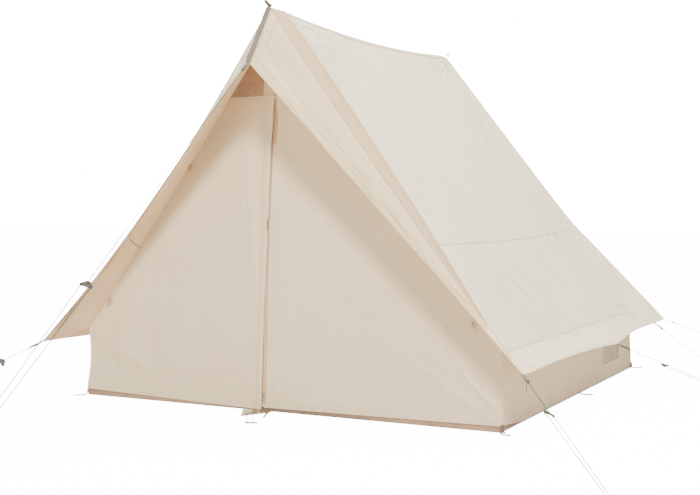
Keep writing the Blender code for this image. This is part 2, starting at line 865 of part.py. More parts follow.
def build_guy(name, tab_end, ground, share, cord_material, plastic, roll=0):
    """A guy line: its upper line, the slider, and the loop from the slider round the peg."""
    tab_end = Vector(tab_end)
    ground = Vector(ground)
    direction = (ground - tab_end).normalized()
    level, upward = frame_along(direction)
    turn = math.radians(roll)
    across = level * math.cos(turn) + upward * math.sin(turn)
    lift = upward * math.cos(turn) - level * math.sin(turn)
    radius = CORD_DIAMETER / 2
    top = tab_end + direction * SEAM_GAP
    on_line = tab_end.lerp(ground, share)
    line_end = on_line + direction * SLIDER_LENGTH * 0.3
    centre = on_line - lift * (SLIDER_THICKNESS / 2 + radius + SEAM_GAP)
    upper = [top.lerp(line_end, i / 8) for i in range(9)]
    build_cord(name + "_line", upper, cord_material)

    half = SLIDER_WIDTH / 2
    nose = half * 0.22
    shoulder = SLIDER_LENGTH * 0.72
    base = centre - lift * (SLIDER_THICKNESS / 2)
    outline = [
        base - across * nose,
        base + across * nose,
        base + across * half + direction * shoulder,
        base + across * half * 0.9 + direction * SLIDER_LENGTH,
        base - across * half * 0.9 + direction * SLIDER_LENGTH,
        base - across * half + direction * shoulder,
    ]
    plate(name + "_slider", outline, lift * SLIDER_THICKNESS, plastic)

    strand = centre + direction * (SLIDER_LENGTH + SEAM_GAP)
    floor = radius + SEAM_GAP
    peg = Vector((ground.x, ground.y, floor))
    flat = Vector((direction.x, direction.y, 0)).normalized()
    strands = []
    turns = []
    for sign in (1, -1):
        start = strand + across * STRAND_SPREAD * sign
        near = peg - direction * (PEG_SPREAD * 3) + level * PEG_SPREAD * sign
        strands.append([start.lerp(near, i / 6) for i in range(7)])
        turns.append(peg + level * PEG_SPREAD * 0.8 * sign + flat * PEG_SPREAD * 0.55)
    middle = peg + flat * PEG_SPREAD
    points = strands[0] + [turns[0], middle, turns[1]] + list(reversed(strands[1]))
    spacing = max(CORD_DIAMETER * 2.5, (strand - peg).length * 2 / 56)
    build_cord(name + "_loop", smooth_route(points, spacing), cord_material)


def build_short_guy(name, tab_end, ground, cord_material):
    """A guy line that ends just past the view, in a small loop on its peg."""
    tab_end = Vector(tab_end)
    ground = Vector(ground)
    direction = (ground - tab_end).normalized()
    across, _ = frame_along(direction)
    radius = CORD_DIAMETER / 2
    floor = radius + SEAM_GAP
    top = tab_end + direction * SEAM_GAP
    peg = Vector((ground.x, ground.y, floor))
    flat = Vector((direction.x, direction.y, 0)).normalized()
    throat = peg - direction * PEG_SPREAD * 3
    throat.z = max(throat.z, floor)
    points = [top.lerp(throat, i / 8) for i in range(9)]
    ring = PEG_SPREAD * 1.1
    centre = peg + flat * ring * 0.4
    for i in range(1, 7):
        turn = math.pi * (-0.75 + 1.5 * i / 7)
        points.append(centre + flat * ring * math.cos(turn) + across * ring * math.sin(turn))
    spacing = max(CORD_DIAMETER * 2.5, (throat - top).length / 44)
    build_cord(name, smooth_route(points, spacing), cord_material)


def mirrored(point):
    return Vector((-point.x, point.y, point.z))


def eave_point(side, y):
    """A cusp of the eave hem, where a tab is sewn on."""
    return Vector((side * EAVE_X, y, EAVE_Z - middle_drop(y)))


def peg_point(side, place):
    """Where a peg stands: outside the eave and along Y from the foot of the front wall."""
    return Vector((side * (EAVE_X + place[0]), FRONT_FOOT + place[1], 0))


def build_rigging(webbing, cord_material, plastic):
    """The tabs round the hem and the guy lines that are pegged out from them."""
    middle_y = FRONT_FOOT + MIDDLE_TAB_DEPTH
    rear_tab_y = rear_y(EAVE_Z) - REAR_TAB_INSET
    front_ground = Vector((0, FRONT_FOOT + FRONT_PEG_DEPTH, 0))
    right_ground = peg_point(1, FRONT_RIGHT_PEG)
    left_ground = peg_point(-1, FRONT_LEFT_PEG)
    side_ground = peg_point(1, SIDE_PEG)
    third_ground = peg_point(1, REAR_SIDE_PEG)
    rear_ground = peg_point(1, REAR_CORNER_PEG)

    tip = front_tip()
    end = build_tab("front_tip_tab", tip, front_ground - tip, webbing, TIP_TAB_GAP)
    build_guy("front_guy", end, front_ground, FRONT_SLIDER_SHARE, cord_material, plastic)
    corner = front_corner()
    end = build_tab("front_corner_tab_right", corner, right_ground - corner, webbing)
    share = FRONT_RIGHT_SLIDER_SHARE
    build_guy("front_right_guy", end, right_ground, share, cord_material, plastic, FRONT_RIGHT_SLIDER_ROLL)
    corner = mirrored(front_corner())
    end = build_tab("front_corner_tab_left", corner, left_ground - corner, webbing)
    share = FRONT_LEFT_SLIDER_SHARE
    build_guy("front_left_guy", end, left_ground, share, cord_material, plastic, FRONT_LEFT_SLIDER_ROLL)
    point = eave_point(1, middle_y)
    end = build_tab("middle_tab_right", point, side_ground - point, webbing)
    build_guy("right_side_guy", end, side_ground, SIDE_SLIDER_SHARE, cord_material, plastic)
    point = eave_point(1, rear_tab_y)
    end = build_tab("rear_side_tab_right", point, third_ground - point, webbing)
    build_short_guy("rear_side_guy", end, third_ground, cord_material)
    corner = rear_corner()
    end = build_tab("rear_corner_tab_right", corner, rear_ground - corner, webbing)
    build_short_guy("rear_corner_guy", end, rear_ground, cord_material)

    point = eave_point(-1, middle_y)
    build_tab("middle_tab_left", point, mirrored(side_ground) - point, webbing)
    point = eave_point(-1, rear_tab_y)
    build_tab("rear_side_tab_left", point, mirrored(third_ground) - point, webbing)
    corner = mirrored(rear_corner())
    build_tab("rear_corner_tab_left", corner, mirrored(rear_ground) - corner, webbing)
    tip = rear_tip()
    rear_line = Vector((0, FRONT_FOOT + REAR_PEG_DEPTH, 0))
    build_tab("rear_tip_tab", tip, rear_line - tip, webbing, TIP_TAB_GAP)


def build_peg_loops(webbing):
    inset = CANVAS + SEAM_GAP
    x = HALF_WIDTH - inset
    front = FRONT_FOOT + inset
    rear = REAR_FOOT - inset
    build_peg_loop("peg_loop_front_right", (x, front), (1, -1), webbing)
    build_peg_loop("peg_loop_front_left", (-x, front), (-1, -1), webbing)
    build_peg_loop("peg_loop_rear_right", (x, rear), (1, 1), webbing)
    build_peg_loop("peg_loop_rear_left", (-x, rear), (-1, 1), webbing)
    middle = FRONT_FOOT + SIDE_LOOP_DEPTH
    build_peg_loop("peg_loop_side_right", (x, middle), (1, 0), webbing)
    build_peg_loop("peg_loop_side_left", (-x, middle), (-1, 0), webbing)
    build_peg_loop("peg_loop_door", (ZIP_OFFSET, front), (0, -1), webbing)


def main():
    clear_scene()
    canvas = make_material("canvas", CANVAS_COLOUR, 0.9)
    groundsheet = make_material("groundsheet", GROUNDSHEET_COLOUR, 0.7)
    netting = make_material("netting", MESH_COLOUR, 0.9)
    webbing = make_material("webbing", WEBBING_COLOUR, 0.85)
    cord_material = make_material("cord", CORD_COLOUR, 0.8)
    plastic = make_material("plastic", PLASTIC_COLOUR, 0.5)
    zip_material = make_material("zip", ZIP_COLOUR, 0.7)
    zip_metal = make_material("zip_metal", BRASS_COLOUR, 0.4, 0.8)
    pole = make_material("pole", POLE_COLOUR, 0.35, 1.0)

    build_groundsheet(groundsheet)
    for side, side_name in ((-1, "left"), (1, "right")):
        build_side_wall(side, side_name, canvas, netting)
        build_roof(side, side_name, canvas)
        build_hoods(side, side_name, canvas)
        build_front_gable(side, side_name, canvas, zip_material)
    build_vent(netting)
    build_rear_wall(canvas)
    build_zip_slider(zip_metal)
    build_end_frame(-1, "front", pole, plastic)
    build_end_frame(1, "rear", pole, plastic)
    build_ridge_pole(pole)
    build_rigging(webbing, cord_material, plastic)
    build_peg_loops(webbing)


main()
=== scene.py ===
"""A ridge tent of cotton canvas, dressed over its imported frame.

Metres, +Z up, the entrance towards -Y. Run as a script: it sews the canopy, the gables, the walls, the
groundsheet, the zip, the webbing and the guy lines, and sets the tent in a plain pale studio.
"""

import math

import bpy
import numpy as np
from bpy.props import FloatProperty, FloatVectorProperty, PointerProperty
from mathutils import Matrix, Vector


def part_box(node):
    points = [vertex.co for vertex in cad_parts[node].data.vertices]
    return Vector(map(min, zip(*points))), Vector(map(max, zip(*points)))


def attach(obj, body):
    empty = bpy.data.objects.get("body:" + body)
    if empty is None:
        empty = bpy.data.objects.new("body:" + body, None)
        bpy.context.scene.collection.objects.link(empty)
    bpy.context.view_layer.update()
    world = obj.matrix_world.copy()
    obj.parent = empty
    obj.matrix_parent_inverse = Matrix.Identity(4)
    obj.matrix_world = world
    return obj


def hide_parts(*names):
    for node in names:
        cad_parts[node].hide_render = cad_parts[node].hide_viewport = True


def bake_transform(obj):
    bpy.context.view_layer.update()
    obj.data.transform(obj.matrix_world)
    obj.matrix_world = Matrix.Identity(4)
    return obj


bl_info = {
    "name": "Canvas Ridge Tent",
    "version": (1, 0, 0),
    "blender": (4, 5, 0),
    "location": "View3D > Sidebar > Ridge Tent",
    "description": "Sews a ridge tent's canvas, webbing, zip and guy lines around its packed frame",
    "category": "Add Mesh",
}

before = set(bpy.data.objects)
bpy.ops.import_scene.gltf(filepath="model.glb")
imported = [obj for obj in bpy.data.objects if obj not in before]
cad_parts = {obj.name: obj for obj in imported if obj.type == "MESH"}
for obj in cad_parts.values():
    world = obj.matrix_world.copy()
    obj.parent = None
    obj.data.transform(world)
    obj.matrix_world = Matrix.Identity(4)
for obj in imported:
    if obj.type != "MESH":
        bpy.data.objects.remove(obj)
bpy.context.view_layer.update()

# Floor, walls and the lean of the gables, in metres
HALF_WIDTH = 1.18
FRONT_FOOT = -1.1605
REAR_FOOT = 1.1995
FRONT_LEAN = 0.038
REAR_LEAN = 0.139
WALL_HEIGHT = 0.357
HEM_HEIGHT = 0.032
TUB_HEIGHT = 0.06
SEAM_GAP = 0.0003

# Roof and eaves
RIDGE_HEIGHT = 2.0
EAVE_REACH = 0.16
EAVE_DROP = 0.06
EAVE_X = HALF_WIDTH + EAVE_REACH
EAVE_Z = WALL_HEIGHT - EAVE_DROP
MIDDLE_TAB_Y = FRONT_FOOT + 1.407
MIDDLE_EAVE_DROP = 0.034
EAVE_SCALLOP = 0.018
ROOF_SAG = 0.018
RIDGE_SAG = 0.038
WEBBING_INSET = 0.012

# Hoods: the crease where each one folds down, and its free hem
FRONT_PEAK = (0.0, FRONT_FOOT - 0.058, RIDGE_HEIGHT)
FRONT_TIP = (0.0, FRONT_FOOT - 0.255, RIDGE_HEIGHT - 0.295)
FRONT_CORNER = (EAVE_X, FRONT_FOOT - 0.176, EAVE_Z)
REAR_PEAK = (0.0, REAR_FOOT - 0.144, RIDGE_HEIGHT)
REAR_TIP = (0.0, REAR_FOOT + 0.06, RIDGE_HEIGHT - 0.295)
REAR_CORNER = (EAVE_X, REAR_FOOT + 0.216, EAVE_Z)
REAR_BREAK_HEIGHT = 0.82
HEM_HOLLOW = 0.006
CREASE_HOLLOW = 0.037
CREASE_SAG = 0.03
SEAM_BOW = 0.068

# Doors, vent and windows
VENT_SILL = 1.59
ZIP_X = -0.078
TAPE_WIDTH = 0.012
WINDOW_START = FRONT_FOOT + 1.70
WINDOW_LENGTH = 0.35
WINDOW_SILL = 0.10
WINDOW_HEIGHT = 0.17
WINDOW_SPANS = ((WINDOW_START, WINDOW_START + WINDOW_LENGTH), (WINDOW_SILL, WINDOW_SILL + WINDOW_HEIGHT))


def settings():
    return bpy.context.scene.ridge_tent


def looks():
    return bpy.context.scene.ridge_tent_colours


# Form of the cloth


def front_y(z):
    return FRONT_FOOT + FRONT_LEAN * z


def rear_y(z):
    return REAR_FOOT - REAR_LEAN * z


def roof_z(x):
    """The roof's inner face at the distance x from the ridge, eave band included."""
    slope = RIDGE_HEIGHT - (RIDGE_HEIGHT - WALL_HEIGHT) * x / HALF_WIDTH
    band = WALL_HEIGHT - EAVE_DROP * (x - HALF_WIDTH) / EAVE_REACH
    return np.where(x <= HALF_WIDTH, slope, band)


def roof_x(z):
    return HALF_WIDTH * (RIDGE_HEIGHT - z) / (RIDGE_HEIGHT - WALL_HEIGHT)


def unit(vectors):
    length = np.linalg.norm(vectors, axis=-1, keepdims=True)
    return vectors / np.maximum(length, 1e-12)


def smooth(value):
    value = np.clip(value, 0.0, 1.0)
    return value * value * (3 - 2 * value)


def beside_line(first, second, start, end):
    """How far places lie along a line, as a share of its length, and how far to its side."""
    way = np.subtract(end, start)
    length = np.linalg.norm(way)
    way = way / length
    first, second = first - start[0], second - start[1]
    return (first * way[0] + second * way[1]) / length, first * way[1] - second * way[0]


def eave_hollow(y):
    """How far the eave's hem is drawn in between its webbing tabs, from 0 to 1."""
    rear_tab = rear_y(EAVE_Z) - WEBBING_INSET
    hollow = np.zeros_like(y)
    for start, end in ((front_y(EAVE_Z), MIDDLE_TAB_Y), (MIDDLE_TAB_Y, rear_tab)):
        share = np.clip((y - start) / (end - start), 0.0, 1.0)
        hollow = hollow + 4 * share * (1 - share)
    return hollow


def middle_drop(y):
    """The extra fall of the eave's hem towards its middle tab."""
    front = (y - FRONT_FOOT) / (MIDDLE_TAB_Y - FRONT_FOOT)
    rear = (REAR_FOOT - y) / (REAR_FOOT - MIDDLE_TAB_Y)
    return MIDDLE_EAVE_DROP * np.clip(np.minimum(front, rear), 0.0, 1.0)


def roof_point(x, along):
    """A place on the right roof half: x out from the ridge, along from the front gable to the rear one."""
    x = np.asarray(x, float) + 0.0 * along
    along = np.asarray(along, float) + 0.0 * x
    share = np.clip(x / HALF_WIDTH, 0.0, 1.0)
    z = roof_z(x)
    front = front_y(np.maximum(z, EAVE_Z))
    rear = rear_y(np.maximum(z, EAVE_Z))
    y = front + (rear - front) * along
    inside = np.clip(along, 0.0, 1.0)
    sag = ROOF_SAG * 16 * share * (1 - share) * inside * (1 - inside)
    sag = sag + RIDGE_SAG * 4 * inside * (1 - inside) * (1 - share) ** 2
    beyond = np.clip((x - HALF_WIDTH) / EAVE_REACH, 0.0, 1.0)
    reach = beyond * (EAVE_REACH - EAVE_SCALLOP * eave_hollow(y))
    fall = (EAVE_DROP + middle_drop(y)) * reach / EAVE_REACH
    z = np.where(x > HALF_WIDTH, WALL_HEIGHT - fall, z - sag)
    x = np.where(x > HALF_WIDTH, HALF_WIDTH + reach, x)
    return np.stack([x, y, z], axis=-1)


def hood_lines(x, end):
    """The crease and the free hem of a hood on the right half, end -1 at the front and 1 at the rear."""
    share = x / EAVE_X
    bow = 4 * share * (1 - share)
    peak, tip, corner = (FRONT_PEAK, FRONT_TIP, FRONT_CORNER) if end < 0 else (REAR_PEAK, REAR_TIP, REAR_CORNER)
    crease = np.outer(1 - share, peak) + np.outer(share, corner)
    hem = np.outer(1 - share, tip) + np.outer(share, corner)
    if end < 0:
        pull = unit(np.array([-RIDGE_HEIGHT, 0.0, -EAVE_X])) * CREASE_SAG
        crease += np.outer(bow, pull + np.array([0.0, CREASE_HOLLOW, 0.0]))
        crease[:, 0] = np.maximum(crease[:, 0], 0.0)
    else:
        break_x = roof_x(REAR_BREAK_HEIGHT)
        crease[:, 2] = np.interp(x, [0.0, break_x, EAVE_X], [RIDGE_HEIGHT, REAR_BREAK_HEIGHT, EAVE_Z])
    hem[:, 1] -= end * HEM_HOLLOW * bow
    return crease, hem


def walk(points):
    """The distance walked along a line at each of its points."""
    return np.concatenate([[0.0], np.cumsum(np.linalg.norm(np.diff(points, axis=0), axis=1))])


def resample(points, count):
    """count points at even spacing along a line."""
    points = np.asarray(points, float)
    walked = walk(points)
    places = np.linspace(0.0, walked[-1], count)
    return np.stack([np.interp(places, walked, points[:, axis]) for axis in range(3)], axis=1)


def soft_path(points, radii, count):
    """count points along a line whose inner corners are rounded, each to its own reach."""
    fine = [points[0]]
    for i in range(1, len(points) - 1):
        back = points[i - 1] - points[i]
        ahead = points[i + 1] - points[i]
        reach = min(radii[i - 1], 0.48 * np.linalg.norm(back), 0.48 * np.linalg.norm(ahead))
        start = points[i] + unit(back) * reach
        end = points[i] + unit(ahead) * reach
        for t in np.linspace(0.0, 1.0, 9):
            fine.append(start * (1 - t) ** 2 + points[i] * 2 * t * (1 - t) + end * t ** 2)
    fine.append(points[-1])
    return resample(fine, count)


# Rows of the canopy from the front hem to the rear hem
FLAP_ROWS = 18
BAND_ROWS = 12
ROOF_ROWS = 168
REAR_BAND_ROWS = 14
REAR_FLAP_ROWS = 12
RIBS = 80
EAVE_RIBS = 9

# Soft folds of the front gable: x and z of both ends, half width and height, in metres
GABLE_FOLDS = (
    (-1.13, 0.33, -0.93, 0.19, 0.018, 0.005),
    (-0.98, 0.26, -0.74, 0.13, 0.026, 0.005),
    (-1.10, 0.30, -0.98, 0.14, 0.014, -0.003),
    (-0.16, 0.95, -0.12, 0.30, 0.014, 0.003),
    (-0.22, 1.40, -0.14, 0.70, 0.016, 0.003),
    (1.10, 0.14, 1.02, 0.58, 0.015, 0.004),
    (1.15, 0.14, 1.11, 0.36, 0.011, -0.003),
    (0.90, 0.14, 0.97, 0.36, 0.018, 0.003),
    (0.02, 1.30, 0.10, 0.90, 0.016, 0.003),
    (0.06, 1.36, 0.20, 1.10, 0.014, 0.003),
)

# Creases drawn to the feet of the gable's corners and along its hem, in the same order
FOOT_CREASES = (
    (1.15, 0.05, 0.62, 0.38, 0.011, 0.0065),
    (1.165, 0.10, 0.98, 0.28, 0.010, 0.0060),
    (1.17, 0.16, 1.10, 0.50, 0.010, 0.0050),
    (0.12, 0.066, 0.76, 0.094, 0.009, 0.0030),
    (0.10, 0.046, 0.64, 0.074, 0.007, 0.0025),
    (-1.12, 0.09, -0.84, 0.26, 0.011, 0.0035),
)

# Fine folds drawn through the roof: centre down the slope and along it, turn, reach along and across,
# folds in a metre and strength
PULL_FIELDS = (
    (1.66, -0.48, 0.72, 0.66, 0.46, 24.0, 1.0),
    (1.22, -0.74, 0.62, 0.50, 0.28, 30.0, 0.7),
    (1.50, 0.72, -0.55, 0.50, 0.35, 22.0, 0.6),
    (0.60, 0.78, -0.80, 0.45, 0.35, 24.0, 0.35),
    (1.00, 0.00, 0.40, 1.50, 1.30, 12.0, 0.25),
)
# Folds that fan out on the roof: centre down the slope and along it, reach, folds in a radian and strength
FAN_FIELDS = (
    (0.00, -1.10, 0.80, 11.0, 1.0),
    (0.00, 1.12, 0.85, 9.0, 0.6),
    (2.02, 1.25, 0.55, 9.0, 0.7),
)

# Soft folds of the roof, right half: x and y of both ends, half width and height, in metres
FOLDS = (
    (0.69, -0.71, 0.84, -0.25, 0.016, 0.0030),
    (0.71, -0.61, 0.81, -0.45, 0.013, -0.0022),
    (0.52, -0.91, 0.61, -0.85, 0.012, 0.0020),
    (0.58, -0.89, 0.67, -0.76, 0.014, 0.0024),
    (0.65, -0.86, 0.83, -0.65, 0.015, 0.0026),
    (0.86, -0.36, 1.16, 0.02, 0.017, 0.0030),
    (0.85, -0.66, 1.14, -0.19, 0.018, 0.0034),
    (0.90, -0.90, 1.15, -0.59, 0.018, 0.0034),
    (0.88, -0.98, 1.13, -0.84, 0.014, -0.0022),
    (0.94, 0.61, 1.13, 0.45, 0.014, 0.0030),
    (0.79, 0.84, 0.94, 0.61, 0.014, 0.0020),
    (0.26, 0.91, 0.42, 0.60, 0.018, 0.0016),
    (0.33, 0.94, 0.44, 0.78, 0.016, 0.0014),
    (0.70, 0.66, 0.78, 0.55, 0.014, 0.0016),
    (0.91, 1.20, 1.01, 1.12, 0.016, 0.0020),
    (0.03, -1.04, 0.15, -0.92, 0.013, 0.0030),
    (0.02, -1.00, 0.10, -0.52, 0.014, 0.0034),
    (0.02, -1.05, 0.30, -0.96, 0.012, -0.0024),
    (0.03, -1.00, 0.20, -0.66, 0.013, -0.0024),
    (0.04, -1.03, 0.26, -0.82, 0.012, 0.0028),
    (0.18, -1.06, 0.34, -1.00, 0.010, 0.0018),
    (0.14, 0.16, 0.03, 0.86, 0.018, 0.0026),
    (0.12, 0.50, 0.02, 0.86, 0.014, -0.0020),
)


def canopy_ribs():
    """Distances from the ridge at which the canopy is drawn, close together over the ridge and the wall seam."""
    near = np.array([0.0, 0.004, 0.008, 0.013])
    slope = np.linspace(0.02, HALF_WIDTH - 0.008, RIBS)
    band = np.linspace(HALF_WIDTH + 0.008, EAVE_X, EAVE_RIBS)
    return np.concatenate([near, slope, [HALF_WIDTH], band])


def boundary_along(x):
    """Where the seam between the roof and the front hood crosses the rib at x, as a share along the roof."""
    share = np.clip(x / HALF_WIDTH, 0.0, 1.0)
    z = roof_z(x)
    length = rear_y(np.maximum(z, EAVE_Z)) - front_y(np.maximum(z, EAVE_Z))
    return SEAM_BOW * (4 * share * (1 - share)) ** 0.8 / length


def canopy_half():
    """Inner face of the right half of the canopy: an array of ribs, each a row of points, front to rear."""
    xs = canopy_ribs()
    front_crease, front_hem = hood_lines(xs, -1)
    rear_crease, rear_hem = hood_lines(xs, 1)
    starts = boundary_along(xs)
    ribs = []
    for i, x in enumerate(xs):
        seam = roof_point(x, np.array([0.0, starts[i], 1.0]))
        flap_front = soft_path([front_hem[i], front_crease[i], seam[0], seam[1]], [0.014, 0.03], 400)
        fold = int(np.argmin(np.linalg.norm(flap_front - front_crease[i], axis=1)))
        pick = np.concatenate([
            np.linspace(0, fold, FLAP_ROWS, endpoint=False),
            np.linspace(fold, 399, BAND_ROWS, endpoint=False),
        ])
        front_part = flap_front[np.round(pick).astype(int)]
        roof_part = roof_point(x, np.linspace(starts[i], 1.0, ROOF_ROWS))
        rear = soft_path([seam[2], rear_crease[i], rear_hem[i]], [0.05], REAR_BAND_ROWS + REAR_FLAP_ROWS)
        ribs.append(np.concatenate([front_part, roof_part, rear[1:]]))
    return np.array(ribs)


# Mesh helpers


def only(*objects):
    """Selects these objects and no other, the first one active."""
    bpy.ops.object.select_all(action="DESELECT")
    for obj in objects:
        obj.select_set(True)
    bpy.context.view_layer.objects.active = objects[0]


def modify(obj, kind, **choices):
    """Adds a modifier with the given choices and applies it."""
    modifier = obj.modifiers.new(kind.capitalize(), kind)
    for key, value in choices.items():
        setattr(modifier, key, value)
    only(obj)
    bpy.ops.object.modifier_apply(modifier=modifier.name)


def named(name):
    """The active object, such as a primitive that was just added, under its own name."""
    obj = bpy.context.object
    obj.name = name
    obj.data.name = name
    return obj


def add_grid(name, points):
    """A grid of points shaped (rows, columns, 3) with its own UV map in metres."""
    rows, columns = points.shape[:2]
    bpy.ops.mesh.primitive_grid_add(x_subdivisions=columns - 1, y_subdivisions=rows - 1, size=1.0)
    obj = named(name)
    mesh = obj.data
    mesh.vertices.foreach_set("co", points.reshape(-1).astype(np.float32))
    corners = np.zeros(len(mesh.loops), dtype=np.int32)
    mesh.loops.foreach_get("vertex_index", corners)
    places = np.stack([distances(points, axis).reshape(-1) for axis in (1, 0)], axis=1)
    layer = mesh.uv_layers.active or mesh.uv_layers.new(name="UVMap")
    layer.data.foreach_set("uv", places[corners].reshape(-1).astype(np.float32))
    mesh.update()
    return obj


def edit(obj, *steps):
    """Runs mesh operators, each with its choices, on an object in edit mode."""
    only(obj)
    bpy.ops.object.mode_set(mode="EDIT")
    for step, choices in steps:
        getattr(bpy.ops.mesh, step)(**choices)
    bpy.ops.object.mode_set(mode="OBJECT")


SELECT_ALL = ("select_all", {"action": "SELECT"})
MERGED = (SELECT_ALL, ("remove_doubles", {"threshold": 0.00001}))
TURNED_OUT = (SELECT_ALL, ("normals_make_consistent", {"inside": False}))


def turn_towards(obj, outward):
    """Flips a sheet's faces where most of them look away from outward."""
    total = Vector((0.0, 0.0, 0.0))
    for face in obj.data.polygons:
        total += face.normal * face.area
    if total.dot(Vector(outward)) < 0:
        obj.data.flip_normals()


def shade(obj, angle=40):
    only(obj)
    bpy.ops.object.shade_smooth_by_angle(angle=math.radians(angle))


def distances(points, axis):
    steps = np.linalg.norm(np.diff(points, axis=axis), axis=-1)
    total = np.cumsum(steps, axis=axis)
    pad = [(0, 0), (0, 0)]
    pad[axis] = (1, 0)
    return np.pad(total, pad)


def cloth(name, points, outward, material, thickness=None, offset=1.0, angle=60):
    """A sheet of cloth through rows of points, thickened towards its outer side, unless its thickness is 0."""
    points = np.asarray(points, float)
    obj = add_grid(name, points)
    edit(obj, *MERGED)
    turn_towards(obj, outward)
    if thickness is None:
        thickness = settings().canvas_thickness
    if thickness > 0:
        modify(obj, "SOLIDIFY", thickness=thickness, offset=offset, use_even_offset=True)
    obj.data.materials.append(material)
    shade(obj, angle)
    return obj


def closed_rings(rings):
    rings = np.asarray(rings, float)
    return np.concatenate([rings, rings[:, :1]], axis=1)


def loft(name, rings, material, angle=60):
    """A closed piece through rings of points, with its two ends capped."""
    obj = add_grid(name, closed_rings(rings))
    edit(obj, *MERGED, ("fill_holes", {"sides": 0}), *TURNED_OUT)
    obj.data.materials.append(material)
    shade(obj, angle)
    return obj


def joined(name, parts):
    only(*parts)
    if len(parts) > 1:
        bpy.ops.object.join()
    return named(name)


def turn_frames(path):
    """Two unit vectors square to the path at each of its points, turned as little as possible."""
    path = np.asarray(path, float)
    tangents = unit(np.gradient(path, axis=0))
    start = np.cross(tangents[0], (0.0, 0.0, 1.0))
    if np.linalg.norm(start) < 1e-4:
        start = np.array([1.0, 0.0, 0.0])
    first = [unit(start)]
    for tangent in tangents[1:]:
        side = first[-1] - tangent * np.dot(first[-1], tangent)
        first.append(unit(side))
    first = np.array(first)
    return first, np.cross(first, tangents)


def tube(name, path, radius, material, sides=10, rib=0.0, pitch=0.01):
    """A round cord along the path. A rib gives it the slight twist of laid strands."""
    path = np.asarray(path, float)
    first, second = turn_frames(path)
    walked = walk(path)
    turns = np.arange(sides) * 2 * math.pi / sides
    spread = radius * (1 + rib * np.cos(3 * turns[None, :] + 2 * math.pi * walked[:, None] / pitch))
    rings = (
        path[:, None, :]
        + first[:, None, :] * (spread * np.cos(turns))[:, :, None]
        + second[:, None, :] * (spread * np.sin(turns))[:, :, None]
    )
    return loft(name, rings, material, angle=80)


def strap(name, path, across, width, thickness, material):
    """A flat strap of webbing along the path. across holds the directions of its width."""
    path = np.asarray(path, float)
    tangents = unit(np.gradient(path, axis=0))
    across = np.broadcast_to(np.asarray(across, float), path.shape)
    across = unit(across - tangents * np.sum(across * tangents, axis=1, keepdims=True))
    lift = np.cross(across, tangents)
    inner = width / 2 - thickness * 0.3
    upper = [(inner * share, thickness / 2) for share in (-1, -0.5, 0, 0.5, 1)] + [(width / 2, 0)]
    profile = upper + [(-a, -b) for a, b in upper]
    rings = np.stack([path + across * a + lift * b for a, b in profile], axis=1)
    return loft(name, rings, material, angle=50)


def curved(points, count):
    """A smooth curve through the given points, read at even spacing."""
    points = np.asarray(points, float)
    ends = np.concatenate([[points[0] * 2 - points[1]], points, [points[-1] * 2 - points[-2]]])
    fine = []
    for i in range(1, len(ends) - 2):
        before, start, end, after = ends[i - 1:i + 3]
        for t in np.linspace(0.0, 1.0, 24, endpoint=False):
            fine.append(0.5 * (
                2 * start
                + (end - before) * t
                + (2 * before - 5 * start + 4 * end - after) * t ** 2
                + (3 * start - before - 3 * end + after) * t ** 3
            ))
    fine.append(points[-1])
    return resample(fine, count)


def finish(obj, nodes=(), body="tent"):
    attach(obj, body)
    if nodes:
        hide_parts(*nodes)
    return obj


# The canopy as an array of points, which its bands and seams are laid on


